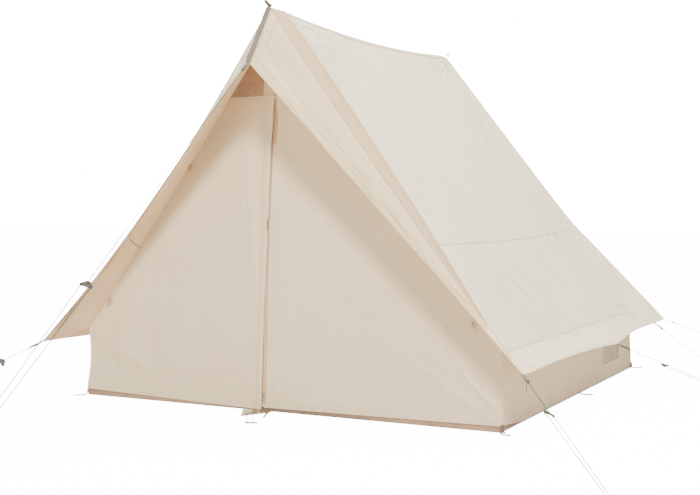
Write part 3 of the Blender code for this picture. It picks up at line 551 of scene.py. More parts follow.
class CanopyForm:
    """The canopy's outer face, both halves, ribs from left to right and rows from the front hem to the rear."""

    def __init__(self):
        half = canopy_half()
        xs = canopy_ribs()
        near = 0.007
        lower = np.where(xs < near, (near - xs) ** 2 / (2 * near), 0.0)
        lower = lower * (RIDGE_HEIGHT - WALL_HEIGHT) / HALF_WIDTH
        half[:, :, 2] -= lower[:, None]
        left = half[:0:-1].copy()
        left[:, :, 0] *= -1
        self.points = np.concatenate([left, half])
        self.places = np.concatenate([-xs[:0:-1], xs])
        self.middle = len(xs) - 1
        self.front_fold = FLAP_ROWS
        self.boundary = FLAP_ROWS + BAND_ROWS
        self.rear_seam = self.boundary + ROOF_ROWS - 1
        self.rear_fold = self.rear_seam + REAR_BAND_ROWS - 1
        hem, fold = self.points[:, 0].copy(), self.points[:, self.front_fold]
        bow = np.sin(math.pi * np.clip(-self.places / EAVE_X, 0.0, 1.0) ** 1.6)
        for row in range(self.boundary):
            share = max(0.0, 1.0 - row / self.front_fold) * bow
            self.points[:, row] += unit(fold - hem) * 0.020 * share[:, None]
            self.points[:, row, 0] += 0.036 * bow * min(1.0, (self.boundary - row) / BAND_ROWS)
        self.normals = self.square_to()
        self.points = self.points + self.normals * self.waves()[:, :, None]
        self.normals = self.square_to()
        self.walked = distances(self.points, 1)

    def square_to(self):
        """Outward directions, with the columns that shrink to a point taking their neighbour's."""
        along = np.gradient(self.points, axis=1)
        across = np.gradient(self.points, axis=0)
        normals = np.cross(across, along)
        length = np.linalg.norm(normals, axis=-1)
        for end, inner in ((0, 1), (-1, -2)):
            poor = length[end] < 1e-9
            normals[end][poor] = normals[inner][poor]
        return unit(normals)

    def waves(self):
        """How far each point stands out of the smooth form: soft folds, ripples and the hood's flared hem."""
        slope = math.hypot(RIDGE_HEIGHT - WALL_HEIGHT, HALF_WIDTH) / HALF_WIDTH
        x = np.abs(self.points[:, :, 0])
        y = self.points[:, :, 1]
        left = (self.places < 0)[:, None]
        height = np.zeros(x.shape)
        shift = np.where(left, 0.03, 0.0)
        for x0, y0, x1, y1, half, rise in FOLDS:
            along, off = beside_line((x + shift) * slope, y - shift * 1.6, (x0 * slope, y0), (x1 * slope, y1))
            off = off + 0.012 * np.sin(along * 3.0 + x0 * 20)
            ends = smooth((along + 0.15) / 0.35) * smooth((1.15 - along) / 0.35)
            height += rise * np.exp(-(off / half) ** 2) * ends
        ripple = np.sin(9.0 * y + 4.0 * x * slope + 1.3) * np.sin(5.0 * x * slope - 2.2 * y + np.where(left, 2.0, 0.4))
        height += 0.0016 * ripple + 0.0009 * np.sin(23.0 * y - 9.0 * x * slope) * np.sin(7.0 * x * slope + 3.0 * y)
        columns = np.arange(x.shape[1])
        front = smooth((columns - self.boundary) / 9.0)
        rear = smooth((self.rear_seam - columns) / 7.0)
        wall = smooth(np.abs(x - HALF_WIDTH) / 0.04) * (1.0 - 0.7 * smooth((x - HALF_WIDTH) / (EAVE_X - HALF_WIDTH)))
        ridge = smooth(x / 0.02)
        height = height * (front * rear)[None, :] * wall * ridge * settings().fold_height / 0.004
        share = x / EAVE_X
        flap = np.clip(1.0 - columns / self.front_fold, 0.0, 1.0)
        room = smooth(share / 0.1) * smooth((1.0 - share) / 0.25)
        width = np.linalg.norm(self.points[:, 0] - self.points[:, self.front_fold], axis=1)[:, None]
        hollow = -0.11 * np.exp(-((flap - 0.45) / 0.22) ** 2) * np.sin(math.pi * np.clip(flap, 0.0, 1.0)) ** 0.5
        streaks = 0.0055 * np.sin(26.0 * flap[None, :] + 9.0 * share + 2.0 * np.sin(6.0 * share))
        streaks = streaks * (np.sin(math.pi * flap) ** 2)[None, :]
        return height + (hollow[None, :] * width + streaks * smooth(width / 0.2)) * room

    def at(self, rib, row):
        """The point and the outward direction at fractional rib and row numbers."""
        rib = np.clip(np.asarray(rib, float), 0, self.points.shape[0] - 1.001)
        row = np.clip(np.asarray(row, float), 0, self.points.shape[1] - 1.001)
        i = rib.astype(int)
        j = row.astype(int)
        u = (rib - i)[..., None]
        v = (row - j)[..., None]
        found = []
        for grid in (self.points, self.normals):
            low = grid[i, j] * (1 - v) + grid[i, j + 1] * v
            high = grid[i + 1, j] * (1 - v) + grid[i + 1, j + 1] * v
            found.append(low * (1 - u) + high * u)
        return found[0], unit(found[1])

    def row_at(self, rib, row, distance):
        """The row number at a distance along the rib from the given row."""
        rib = int(round(rib))
        walked = self.walked[rib]
        return float(np.interp(walked[row] + distance, walked, np.arange(len(walked))))

    def rib_at(self, x):
        return np.interp(x, self.places, np.arange(len(self.places)))


def laid_band(name, form, ribs, rows, height, material, inside=False):
    """A band of cloth on the canopy. ribs and rows hold its two long edges, shaped (steps, 2) or (steps, 1)."""
    thickness = settings().canvas_thickness
    profile = [(0.0, -0.0006), (0.048, height * 0.8), (0.12, height), (0.5, height), (0.88, height),
               (0.952, height * 0.8), (1.0, -0.0006)]
    rings = []
    for share, lift in profile:
        point, normal = form.at(*(lines[:, 0] * (1 - share) + lines[:, -1] * share for lines in (ribs, rows)))
        rings.append(point - normal * lift if inside else point + normal * (thickness + lift))
    return loft(name, np.stack(rings, axis=1), material)
# Shared effects, as node groups, and the materials that use them


class NodeTree:
    """A node tree with short ways to add nodes and to join them."""

    def __init__(self, data):
        self.data = data

    def node(self, kind, values=(), **choices):
        """A new node with the given choices, whose inputs get the values in their order or by their labels."""
        node = self.data.nodes.new("ShaderNode" + kind)
        for name, value in choices.items():
            setattr(node, name, value)
        for label, value in values.items() if isinstance(values, dict) else enumerate(values):
            self.feed(node.inputs[label], value)
        return node

    def feed(self, socket, value):
        """Joins a socket to value, or sets it where value is a number, a vector or a colour."""
        if isinstance(value, bpy.types.NodeSocket):
            self.data.links.new(value, socket)
        elif value is not None:
            colour = socket.type == "RGBA" and not isinstance(value, (int, float))
            socket.default_value = (*value[:3], 1.0) if colour else value

    def maths(self, operation, *values):
        return self.node("Math", values, operation=operation).outputs[0]

    def times(self, first, second):
        return self.maths("MULTIPLY", first, second)

    def plus(self, first, second):
        return self.maths("ADD", first, second)

    def minus(self, first, second):
        return self.maths("SUBTRACT", first, second)

    def away(self, value, centre):
        """How far value lies from centre."""
        return self.maths("ABSOLUTE", self.minus(value, centre))

    def mix(self, factor, first, second):
        return self.node("Mix", {0: factor, 6: first, 7: second}, data_type="RGBA").outputs[2]

    def noise(self, vector, scale, detail=3.0, roughness=0.55, distortion=0.0):
        values = {"Vector": vector, "Scale": scale, "Detail": detail, "Roughness": roughness, "Distortion": distortion}
        return self.node("TexNoise", values).outputs["Fac"]

    def stretched(self, vector, scale, angle=0.0):
        values = {"Vector": vector, "Scale": scale, "Rotation": (0.0, 0.0, angle)}
        return self.node("Mapping", values).outputs[0]

    def remap(self, value, low, high, to_low=0.0, to_high=1.0):
        values = (value, low, high, to_low, to_high)
        return self.node("MapRange", values, interpolation_type="SMOOTHSTEP").outputs[0]

    def object_place(self):
        return self.node("TexCoord").outputs["Object"]

    def parts(self, vector):
        return self.node("SeparateXYZ", (vector,)).outputs

    def unwrapped(self):
        """The places across and along the piece, from its own UV map."""
        return self.parts(self.node("UVMap").outputs[0])[:2]

    def place_group(self, group, *values):
        return self.node("Group", values, node_tree=group).outputs

    def patches(self, place, scale, detail, strength=1.0):
        """Soft patches of an uneven tone, from 0 to strength."""
        return self.remap(self.noise(place, scale, detail), 0.35, 0.7, 0.0, strength)

    def bump(self, shaders, height):
        node = self.node("Bump", {"Strength": 1.0, "Distance": 1.0, "Height": height})
        for shader in shaders:
            self.feed(shader.inputs["Normal"], node.outputs[0])

    def surface(self, shader, colour, height, roughness=None):
        """Gives a shader its colour, its bump and, where it isn't even, its roughness."""
        self.feed(shader.inputs["Base Color"], colour)
        self.feed(shader.inputs["Roughness"], roughness)
        self.bump((shader,), height)


def made_once(name=None):
    """Turns a function that builds a material, the named one or its first value, into one that builds it once."""

    def wrap(build):
        def get(*values, **choices):
            given = (name, *values) if name else values
            return bpy.data.materials.get(given[0]) or build(*given, **choices)

        return get

    return wrap


def node_group(name, inputs, outputs):
    """Turns a function of a tree and its float inputs, which gives its outputs, into one that makes the group once."""

    def wrap(build):
        def get():
            group = bpy.data.node_groups.get(name)
            if group is None:
                group = bpy.data.node_groups.new(name, "ShaderNodeTree")
                for in_out, labels in (("INPUT", inputs), ("OUTPUT", outputs)):
                    for label in labels:
                        group.interface.new_socket(name=label, in_out=in_out, socket_type="NodeSocketFloat")
                tree = NodeTree(group)
                results = build(tree, *group.nodes.new("NodeGroupInput").outputs[:len(inputs)])
                for socket, result in zip(group.nodes.new("NodeGroupOutput").inputs, results):
                    tree.feed(socket, result)
            return group

        return get

    return wrap


def toned(colour, share):
    """A colour made darker or lighter by a share."""
    return [min(1.0, value * share) for value in colour]


@node_group("Plain weave", ("Threads per metre", "Thread height"), ("Height", "Crown"))
def weave_group(tree, threads, rise):
    """Plain weave on the cloth's own UV: a height in metres and a mask of the thread crowns."""
    waves = [tree.maths("SINE", tree.times(tree.times(axis, threads), math.pi)) for axis in tree.unwrapped()]
    crown = tree.maths("ABSOLUTE", tree.times(*waves))
    return tree.times(crown, rise), crown


@node_group("Cloth creases", ("Crease height", "Fine height"), ("Height", "Cloud", "Fibre"))
def creases_group(tree, crease, fine):
    """Soft folds and faint cloudy tone of cotton cloth that was packed away: height in metres and two masks."""
    place = tree.object_place()
    broad = tree.noise(tree.stretched(place, (1.0, 2.6, 1.2), 0.5), 3.2, 3.0, 0.5, 0.6)
    ridge = tree.remap(tree.away(broad, 0.5), 0.0, 0.09, 1.0, 0.0)
    grain = tree.noise(tree.stretched(place, (1.0, 1.0, 1.6), 0.3), 16.0, 4.0, 0.55, 0.8)
    return (tree.plus(tree.times(ridge, crease), tree.times(grain, fine)), tree.noise(place, 2.1, 4.0, 0.6),
            tree.noise(tree.stretched(place, (1.0, 1.0, 0.18)), 420.0, 2.0, 0.6))


@node_group("Crimp", ("Along", "Across", "Half"), ("Height",))
def crimp_group(tree, *places):
    """Sharp little folds lying side by side: how high, from 0 to 1, at a place along and across them."""
    place = tree.node("CombineXYZ", places).outputs[0]
    grain = tree.noise(place, 1.0, 1.0, 0.4, 0.25)
    swell = tree.noise(place, 0.37, 1.0, 0.4, 0.1)
    crest = tree.times(tree.remap(tree.away(grain, 0.5), 0.0, 0.15, 1.0, 0.0), tree.remap(swell, 0.40, 0.60))
    return (tree.plus(crest, tree.times(swell, 1.6)),)


def crimp(tree, along, across, half):
    return tree.place_group(crimp_group(), along, across, half)[0]


@node_group("Roof folds", ("Fold height",), ("Height",))
def roof_folds_group(tree, rise):
    """Folds drawn through the roof from its corners and from the ridge ends: height in metres."""
    x, y, _ = tree.parts(tree.object_place())
    down = tree.times(tree.maths("ABSOLUTE", x), 1.714)
    half = tree.times(tree.maths("GREATER_THAN", x, 0.0), 5.0)

    def length(first, second):
        return tree.maths("SQRT", tree.plus(tree.times(first, first), tree.times(second, second)))

    def turned(first, second, cosine, sine):
        return tree.plus(tree.times(first, cosine), tree.times(second, sine))

    total = 0.0
    for centre_down, centre_y, turn, reach, spread, density, strength in PULL_FIELDS:
        place = (tree.minus(down, centre_down), tree.minus(y, centre_y))
        along = turned(*place, math.cos(turn), math.sin(turn))
        across = turned(*place, -math.sin(turn), math.cos(turn))
        away = length(tree.maths("DIVIDE", along, reach), tree.maths("DIVIDE", across, spread))
        height = crimp(tree, tree.times(along, density * 0.10), tree.times(across, density), half)
        total = tree.plus(total, tree.times(height, tree.remap(away, 0.35, 1.0, strength, 0.0)))
    for centre_down, centre_y, reach, density, strength in FAN_FIELDS:
        place = (tree.minus(down, centre_down), tree.minus(y, centre_y))
        away = length(*place)
        mask = tree.times(tree.remap(away, reach * 0.4, reach, strength, 0.0), tree.remap(away, 0.02, 0.25))
        turn = tree.maths("ARCTAN2", *place)
        height = crimp(tree, tree.times(away, 2.4), tree.times(turn, density), half)
        total = tree.plus(total, tree.times(height, mask))
    return (tree.times(total, rise),)


@node_group("Run folds", ("Fold height", "Folds per metre"), ("Height",))
def run_folds_group(tree, rise, density):
    """Long folds beside a seam, laid out by the piece's own UV: height in metres."""
    across, along = tree.unwrapped()
    return (tree.times(crimp(tree, tree.times(along, 1.6), tree.times(across, density), 0.0), rise),)


@node_group("Hanging folds", ("Fold height",), ("Height",))
def hanging_folds_group(tree, rise):
    """Upright folds of a gable, strongest in patches: height in metres."""
    place = tree.object_place()
    x, y, z = tree.parts(place)
    lean = tree.plus(tree.plus(x, y), tree.times(z, 0.12))
    height = crimp(tree, tree.times(z, 1.3), tree.times(lean, 15.0), 2.0)
    patch = tree.remap(tree.noise(place, 1.7, 1.0), 0.40, 0.62, 0.15, 1.0)
    return (tree.times(tree.times(height, patch), rise),)


def new_material(name, roughness, **sockets):
    """A material with its node tree and its main shader, whose further sockets are named with underscores."""
    material = bpy.data.materials.new(name)
    material.use_nodes = True
    shader = material.node_tree.nodes["Principled BSDF"]
    for label, value in {"Roughness": roughness, **sockets}.items():
        shader.inputs[label.replace("_", " ")].default_value = value
    return material, NodeTree(material.node_tree), shader


def stitch_rows(tree, lines, pitch, width):
    """A mask of stitches: dashes along the UV's length at the given places across it."""
    across, along = tree.unwrapped()
    phase = tree.maths("FRACT", tree.maths("DIVIDE", along, pitch))
    dash = tree.remap(tree.away(phase, 0.5), 0.24, 0.36, 1.0, 0.0)
    rows = [tree.times(tree.remap(tree.away(across, line), width * 0.4, width * 0.8, 1.0, 0.0), dash)
            for line in lines]
    return tree.maths("MAXIMUM", *rows)


@made_once()
def canvas_material(name, colours, share, crease=0.002, fine=0.0006, stitches=(), folds=None, rim=None):
    """Cotton canvas in a light and a dark tone. A share of the light passes through it, in a warm tone.

    folds holds a node group of folds and its values, and the last value a lighter tone for the part away from the free
    hem: painted light.
    """
    light, dark = colours
    through = looks().canvas_through
    material, tree, shader = new_material(name, 0.88, Sheen_Weight=0.12, Sheen_Roughness=0.6, Specular_IOR_Level=0.25)
    weave, crown = tree.place_group(weave_group(), 900.0, 0.00012)
    height, cloud, fibre = tree.place_group(creases_group(), crease, fine)
    cloud = tree.remap(cloud, 0.32, 0.68)
    tone = tree.mix(cloud, dark, light)
    tone = tree.mix(tree.remap(fibre, 0.35, 0.7, 0.0, 0.22), tone, toned(dark, 0.86))
    # Painted shade: darker between the threads, where the weave sinks.
    tone = tree.mix(tree.remap(crown, 0.0, 0.7, 0.14, 0.0), tone, toned(dark, 0.72))
    height = tree.plus(weave, height)
    # Painted light: the hood's part away from its free hem, towards the crease, takes a lighter tone.
    if rim:
        wander = tree.plus(tree.unwrapped()[0], tree.times(cloud, 0.022))
        tone = tree.mix(tree.remap(wander, 0.062, 0.100), tone, rim)
    if folds:
        height = tree.plus(height, tree.place_group(*folds)[0])
    if stitches:
        mask = stitch_rows(tree, stitches, 0.0045, 0.0012)
        tone = tree.mix(tree.times(mask, 0.55), tone, toned(dark, 0.6))
        height = tree.plus(height, tree.times(mask, 0.0004))
    tree.feed(shader.inputs["Base Color"], tone)
    lit = tree.node("BsdfTranslucent", {"Color": tree.mix(cloud, toned(through, 0.93), through)})
    mixed = tree.node("MixShader", (share, shader.outputs[0], lit.outputs[0]))
    tree.feed(tree.data.nodes["Material Output"].inputs["Surface"], mixed.outputs[0])
    tree.bump((shader, lit), height)
    return material


def tones(word):
    """The light and the dark tone that the sidebar holds for a kind of cloth."""
    return getattr(looks(), word + "_light"), getattr(looks(), word + "_dark")


def roof_canvas():
    return canvas_material("roof_canvas", tones("canvas"), 0.30, folds=(roof_folds_group(), 0.009))


# Painted shade: the hood takes the roof's canvas in a darker, yellower tone.
def hood_canvas():
    return canvas_material("hood_canvas", tones("hood"), 0.50, crease=0.001,
                           folds=(run_folds_group(), 0.022, 11.0), rim=looks().hood_painted_light)


# Painted shade: the band behind the hood's crease takes the roof's canvas in a darker, tanner tone.
def band_canvas():
    return canvas_material("band_canvas", tones("band"), 0.5, crease=0.001)


def lining_canvas():
    """The canopy's inner face, lit by what comes through the outer one, and in lighter tones than the outer faces:
    painted light.
    """
    return canvas_material("lining_canvas", tones("lining"), 0.62, crease=0.001)


# Painted shade: the gables, walls, vent bands and storm flap take the roof's canvas in a darker, yellower tone.
def gable_canvas():
    return canvas_material("gable_canvas", tones("gable"), 0.32, crease=0.0012,
                           folds=(hanging_folds_group(), 0.0018))


def seam_canvas():
    return canvas_material("seam_canvas", tones("seam"), 0.12, crease=0.0, fine=0.0004, stitches=(0.002, 0.010))


def seam_thread():
    """Rows of darker thread and folded edges, where a seam shows as a thin warm line."""
    thread = looks().thread
    return canvas_material("seam_thread", (thread, toned(thread, 0.8)), 0.1, crease=0.0, fine=0.0003)


@made_once("taupe_webbing")
def webbing_material(name):
    """Taupe webbing with a ribbed herringbone weave on its own UV."""
    tone = looks().webbing
    material, tree, shader = new_material(name, 0.8, Sheen_Weight=0.15)
    across, along = tree.unwrapped()
    zigzag = tree.maths("PINGPONG", tree.times(across, 1000.0), 3.0)
    slant = tree.plus(tree.times(along, 1400.0), zigzag)
    rib = tree.times(tree.plus(tree.maths("SINE", slant), 1.0), 0.5)
    place = tree.object_place()
    # Painted shade: darker in the hollows between the ribs, where the bump sinks.
    colour = tree.mix(rib, toned(tone, 0.62), tone)
    colour = tree.mix(tree.patches(place, 22.0, 4.0, 0.6), colour, toned(tone, 1.25))
    fuzz = tree.times(tree.noise(place, 900.0, 2.0), 0.00012)
    tree.surface(shader, colour, tree.plus(tree.times(rib, 0.0003), fuzz))
    return material


@made_once("guy_cord")
def cord_material(name):
    """Braided cord: two sets of strands that cross round it, on its own UV."""
    tone = looks().cord
    material, tree, shader = new_material(name, 0.75, Sheen_Weight=0.1)
    across, along = tree.unwrapped()
    around = tree.times(across, 2 * math.pi / 0.00298)
    length = tree.times(along, 2 * math.pi / 0.006)
    strands = [tree.maths("SINE", tree.maths(way, around, length)) for way in ("ADD", "SUBTRACT")]
    braid = tree.plus(tree.times(tree.maths("MAXIMUM", *strands), 0.5), 0.5)
    worn = tree.remap(tree.noise(tree.object_place(), 30.0, 3.0), 0.4, 0.7, 0.0, 0.45)
    # Painted shade: darker between the strands, where the braid sinks.
    colour = tree.mix(braid, toned(tone, 0.6), tone)
    tree.surface(shader, tree.mix(worn, colour, toned(tone, 0.8)), tree.times(braid, 0.0003))
    return material


@made_once()
def plastic_material(name, colour, roughness=0.45, grain=0.00006):
    """Moulded plastic with a fine grain and slightly rubbed raised places."""
    material, tree, shader = new_material(name, roughness)
    place = tree.object_place()
    cloud = tree.patches(place, 60.0, 4.0)
    tone = tree.mix(cloud, toned(colour, 0.82), toned(colour, 1.12))
    edge = tree.node("NewGeometry").outputs["Pointiness"]
    worn = tree.times(tree.remap(edge, 0.52, 0.62), 0.5)
    tree.surface(shader, tree.mix(worn, tone, toned(colour, 1.7)),
                  tree.times(tree.noise(place, 1400.0, 2.0), grain),
                  tree.remap(cloud, 0.0, 1.0, roughness - 0.06, roughness + 0.1))
    return material


@made_once()
def metal_material(name, colour, roughness=0.32):
    """Bare metal with faint drawn lines along it and duller patches."""
    material, tree, shader = new_material(name, roughness, Metallic=1.0)
    place = tree.object_place()
    lines = tree.noise(tree.stretched(place, (1.0, 0.1, 1.0)), 900.0, 3.0)
    cloud = tree.patches(place, 14.0, 5.0)
    tree.surface(shader, tree.mix(cloud, toned(colour, 0.78), colour), tree.times(lines, 0.00002),
                  tree.remap(cloud, 0.0, 1.0, roughness + 0.16, roughness))
    return material


@made_once()
def netting_material(name, tone):
    """Insect netting: fine threads with open holes between them."""
    material, tree, shader = new_material(name, 0.8)
    phases = [tree.maths("FRACT", tree.times(axis, 700.0)) for axis in tree.unwrapped()]
    threads = tree.maths("MAXIMUM", *(tree.remap(tree.away(phase, 0.5), 0.26, 0.34) for phase in phases))
    cloud = tree.patches(tree.object_place(), 9.0, 4.0)
    tree.surface(shader, tree.mix(cloud, toned(tone, 0.8), tone), tree.times(threads, 0.0002))
    tree.feed(shader.inputs["Alpha"], tree.remap(threads, 0.0, 1.0, 0.25, 1.0))
    return material


@made_once("coated_groundsheet")
def groundsheet_material(name):
    """Coated groundsheet cloth, with painted shade beside the door and a painted shadow under the walls' hems."""
    tone = looks().groundsheet
    material, tree, shader = new_material(name, 0.6)
    weave, crown = tree.place_group(weave_group(), 700.0, 0.0001)
    height = tree.place_group(creases_group(), 0.001, 0.002)[0]
    place = tree.object_place()
    x, _, z = tree.parts(place)
    cloud = tree.patches(place, 7.0, 5.0)
    colour = tree.mix(cloud, toned(tone, 0.75), tone)
    # Painted shade: darker between the threads, where the weave sinks.
    colour = tree.mix(tree.remap(crown, 0.0, 0.8, 0.25, 0.0), colour, toned(tone, 0.5))
    # Painted shade: darker round x of 0.12, beside the door, where the hem shades the floor's edge.
    colour = tree.mix(tree.remap(tree.away(x, 0.12), 0.1, 0.7, 0.75, 0.0), colour, toned(tone, 0.3))
    # Painted shadow: darker towards the top of the tray's sides, under the walls' hems.
    colour = tree.mix(tree.remap(z, 0.010, 0.036, 0.0, 0.7), colour, toned(tone, 0.25))
    tree.surface(shader, colour, tree.plus(weave, height), tree.remap(cloud, 0.0, 1.0, 0.5, 0.7))
    return material


def build_camera():
    data = bpy.data.cameras.new("photograph_view")
    data.sensor_width = 36.0
    data.lens = 60.87
    data.shift_y = -0.0642
    camera = bpy.data.objects.new("photograph_view", data)
    bpy.context.scene.collection.objects.link(camera)
    camera.location = (2.998, -6.1965, 1.038)
    camera.rotation_euler = (math.radians(90), 0, math.radians(27.17))
    bpy.context.scene.camera = camera


# Guy lines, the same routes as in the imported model

TAB_LENGTH = 0.062
TAB_GAP = 0.0008
TIP_TAB_GAP = 0.0013
CORD_DIAMETER = 0.0038
SLIDER_WIDTH = 0.060
SLIDER_LENGTH = 0.026
SLIDER_THICKNESS = 0.005
PLATE_THICKNESS = 0.0042
PLATE_EYE_RADIUS = 0.0029
PLATE_ROUNDING = 0.0035
STRAND_SPREAD = 0.021
PEG_SPREAD = 0.007


def peg(side, outside, depth):
    return Vector((side * (EAVE_X + outside), FRONT_FOOT + depth, 0.0))


def eave_point(side, y):
    return Vector((side * EAVE_X, y, EAVE_Z - float(middle_drop(np.array(y)))))


REAR_TAB_Y = rear_y(EAVE_Z) - WEBBING_INSET
FRONT_PEG = Vector((0.0, FRONT_FOOT - 2.29, 0.0))
RIGHT_CORNER = Vector(FRONT_CORNER)
LEFT_CORNER = Vector((-FRONT_CORNER[0], *FRONT_CORNER[1:]))

# Tab, line, the tab's root, the peg, the gap at the root, the slider's share of the way and its turn in degrees
ADJUSTABLE_GUYS = (
    ("front_tip_tab", "front_guy", Vector(FRONT_TIP), FRONT_PEG, TIP_TAB_GAP, 0.56, 22),
    ("front_corner_tab_right", "front_right_guy", RIGHT_CORNER, peg(1, 0.553, -0.89), TAB_GAP, 0.29, 26),
    ("front_corner_tab_left", "front_left_guy", LEFT_CORNER, peg(-1, 0.31, -0.90), TAB_GAP, 0.21, 42),
    ("middle_tab_right", "right_side_guy", eave_point(1, MIDDLE_TAB_Y), peg(1, 0.80, 1.24), TAB_GAP, 0.265, 0),
)
SHORT_GUYS = (
    ("rear_side_tab_right", "rear_side_guy", eave_point(1, REAR_TAB_Y), peg(1, 0.44, 2.22), TAB_GAP),
    ("rear_corner_tab_right", "rear_corner_guy", Vector(REAR_CORNER), peg(1, 0.66, 2.95), TAB_GAP),
)
BARE_TABS = (
    ("middle_tab_left", eave_point(-1, MIDDLE_TAB_Y), peg(-1, 0.80, 1.24), TAB_GAP),
    ("rear_side_tab_left", eave_point(-1, REAR_TAB_Y), peg(-1, 0.44, 2.22), TAB_GAP),
    ("rear_corner_tab_left", Vector((-REAR_CORNER[0], *REAR_CORNER[1:])), peg(-1, 0.66, 2.95), TAB_GAP),
    ("rear_tip_tab", Vector(REAR_TIP), Vector((0.0, FRONT_FOOT + 4.36, 0.0)), TIP_TAB_GAP),
)


def frame_along(direction):
    """Two unit vectors square to direction, the first of them level."""
    across = direction.cross(Vector((0, 0, 1))).normalized()
    return across, across.cross(direction).normalized()


def tab_end(root, ground, gap):
    direction = (ground - root).normalized()
    return root + direction * (gap + TAB_LENGTH)


def guy_places(root, ground, gap, share, roll):
    """The places along an adjustable guy line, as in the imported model."""
    end = tab_end(root, ground, gap)
    direction = (ground - end).normalized()
    level, upward = frame_along(direction)
    turn = math.radians(roll)
    across = level * math.cos(turn) + upward * math.sin(turn)
    lift = upward * math.cos(turn) - level * math.sin(turn)
    on_line = end.lerp(ground, share)
    radius = CORD_DIAMETER / 2
    centre = on_line - lift * (SLIDER_THICKNESS / 2 + radius + SEAM_GAP)
    return {
        "end": end, "direction": direction, "level": level, "across": across, "lift": lift,
        "on_line": on_line, "line_end": on_line + direction * SLIDER_LENGTH * 0.3, "centre": centre,
    }


def stake_of(ground, direction):
    """Where a line turns round its peg, just above the floor, and its level direction there."""
    return (Vector((ground.x, ground.y, CORD_DIAMETER / 2 + SEAM_GAP)),
            Vector((direction.x, direction.y, 0)).normalized())


def path_length(points):
    return sum((b - a).length for a, b in zip(points, points[1:]))


def eased(route, reach, share):
    """The route as a curve with points about a share of its reach apart, never closer than the cord allows."""
    spacing = max(CORD_DIAMETER * 2.5, reach / share)
    length = path_length([Vector(point) for point in curved(route, 400)])
    return [Vector(point) for point in curved(route, max(3, round(length / spacing) + 1))]


def guy_tube(name, path):
    return tube(name, path, CORD_DIAMETER / 2, cord_material(), rib=0.05)


def lay_guy(name, root, ground, gap, share, roll):
    """One adjustable guy line: the upper line to the slider and the loop from it round the peg."""
    place = guy_places(root, ground, gap, share, roll)
    direction = place["direction"]
    top = place["end"] + direction * SEAM_GAP
    upper = [top.lerp(place["line_end"], i / 32) for i in range(33)]
    line = guy_tube(name + "_cord", upper)
    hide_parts(name + "_line")
    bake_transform(line)

    strand = place["centre"] + direction * (SLIDER_LENGTH + SEAM_GAP)
    stake, flat = stake_of(ground, direction)
    strands = []
    turns = []
    for sign in (1, -1):
        start = strand + place["across"] * STRAND_SPREAD * sign
        near = stake - direction * PEG_SPREAD * 3 + place["level"] * PEG_SPREAD * sign
        strands.append([start.lerp(near, i / 6) for i in range(7)])
        turns.append(stake + place["level"] * PEG_SPREAD * 0.8 * sign + flat * PEG_SPREAD * 0.55)
    middle = stake + flat * PEG_SPREAD
    route = strands[0] + [turns[0], middle, turns[1]] + list(reversed(strands[1]))
    points = eased(route, (strand - stake).length * 2, 56)
    loop = guy_tube(name + "_strands", points)
    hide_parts(name + "_loop")
    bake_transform(loop)


def lay_short_guy(name, root, ground, gap):
    """A guy line that runs straight to its peg and ends in a small tied loop."""
    end = tab_end(root, ground, gap)
    direction = (ground - end).normalized()
    across, _ = frame_along(direction)
    top = end + direction * SEAM_GAP
    stake, flat = stake_of(ground, direction)
    throat = stake - direction * PEG_SPREAD * 3
    throat.z = max(throat.z, stake.z)
    points = [top.lerp(throat, i / 8) for i in range(9)]
    ring = PEG_SPREAD * 1.1
    centre = stake + flat * ring * 0.4
    for i in range(1, 7):
        turn = math.pi * (-0.75 + 1.5 * i / 7)
        points.append(centre + flat * ring * math.cos(turn) + across * ring * math.sin(turn))
    route = eased(points, (throat - top).length, 44)
    line = guy_tube(name + "_cord", route)
    finish(line, [name])


# The canopy and its bands


def sew_canopy(form):
    """One continuous sheet from eave to eave, hoods and all."""
    obj = cloth("canopy", form.points, (0, 0, 1), roof_canvas(), angle=75)
    for material in (hood_canvas(), lining_canvas(), band_canvas()):
        obj.data.materials.append(material)
    colour_hoods(obj, form)
    finish(obj, ["roof_left", "roof_right", "front_hood_left", "front_hood_right", "rear_hood_left",
                           "rear_hood_right"])


def colour_hoods(obj, form):
    """The right hood takes the second material, the band behind its crease the fourth, inner faces the third: painted
    shade on the hood and the band, painted light on the inner faces.
    """
    mesh = obj.data
    centres, turned = (np.zeros(len(mesh.polygons) * 3, dtype=np.float32) for _ in range(2))
    mesh.polygons.foreach_get("center", centres)
    mesh.polygons.foreach_get("normal", turned)
    centres = centres.reshape(-1, 3)
    seam_y, fold_y = (np.interp(np.abs(centres[:, 0]), line[:, 0], line[:, 1])
                      for line in (form.points[form.middle:, row] for row in (form.boundary, form.front_fold)))
    plain = (centres[:, 0] < -0.02) | (centres[:, 0] > HALF_WIDTH - 0.004)
    front = np.where(plain, 0, np.where(centres[:, 1] > fold_y, 3, 1))
    index = np.where(centres[:, 1] < seam_y, front, 0).astype(np.int32)
    middle = np.stack([0 * centres[:, 0], np.clip(centres[:, 1], -1.0, 1.0), 0 * centres[:, 0] + 0.2], axis=-1)
    inside = ((centres - middle) * turned.reshape(-1, 3)).sum(axis=-1) < 0
    index[inside] = 2
    mesh.polygons.foreach_set("material_index", index)
    mesh.update()


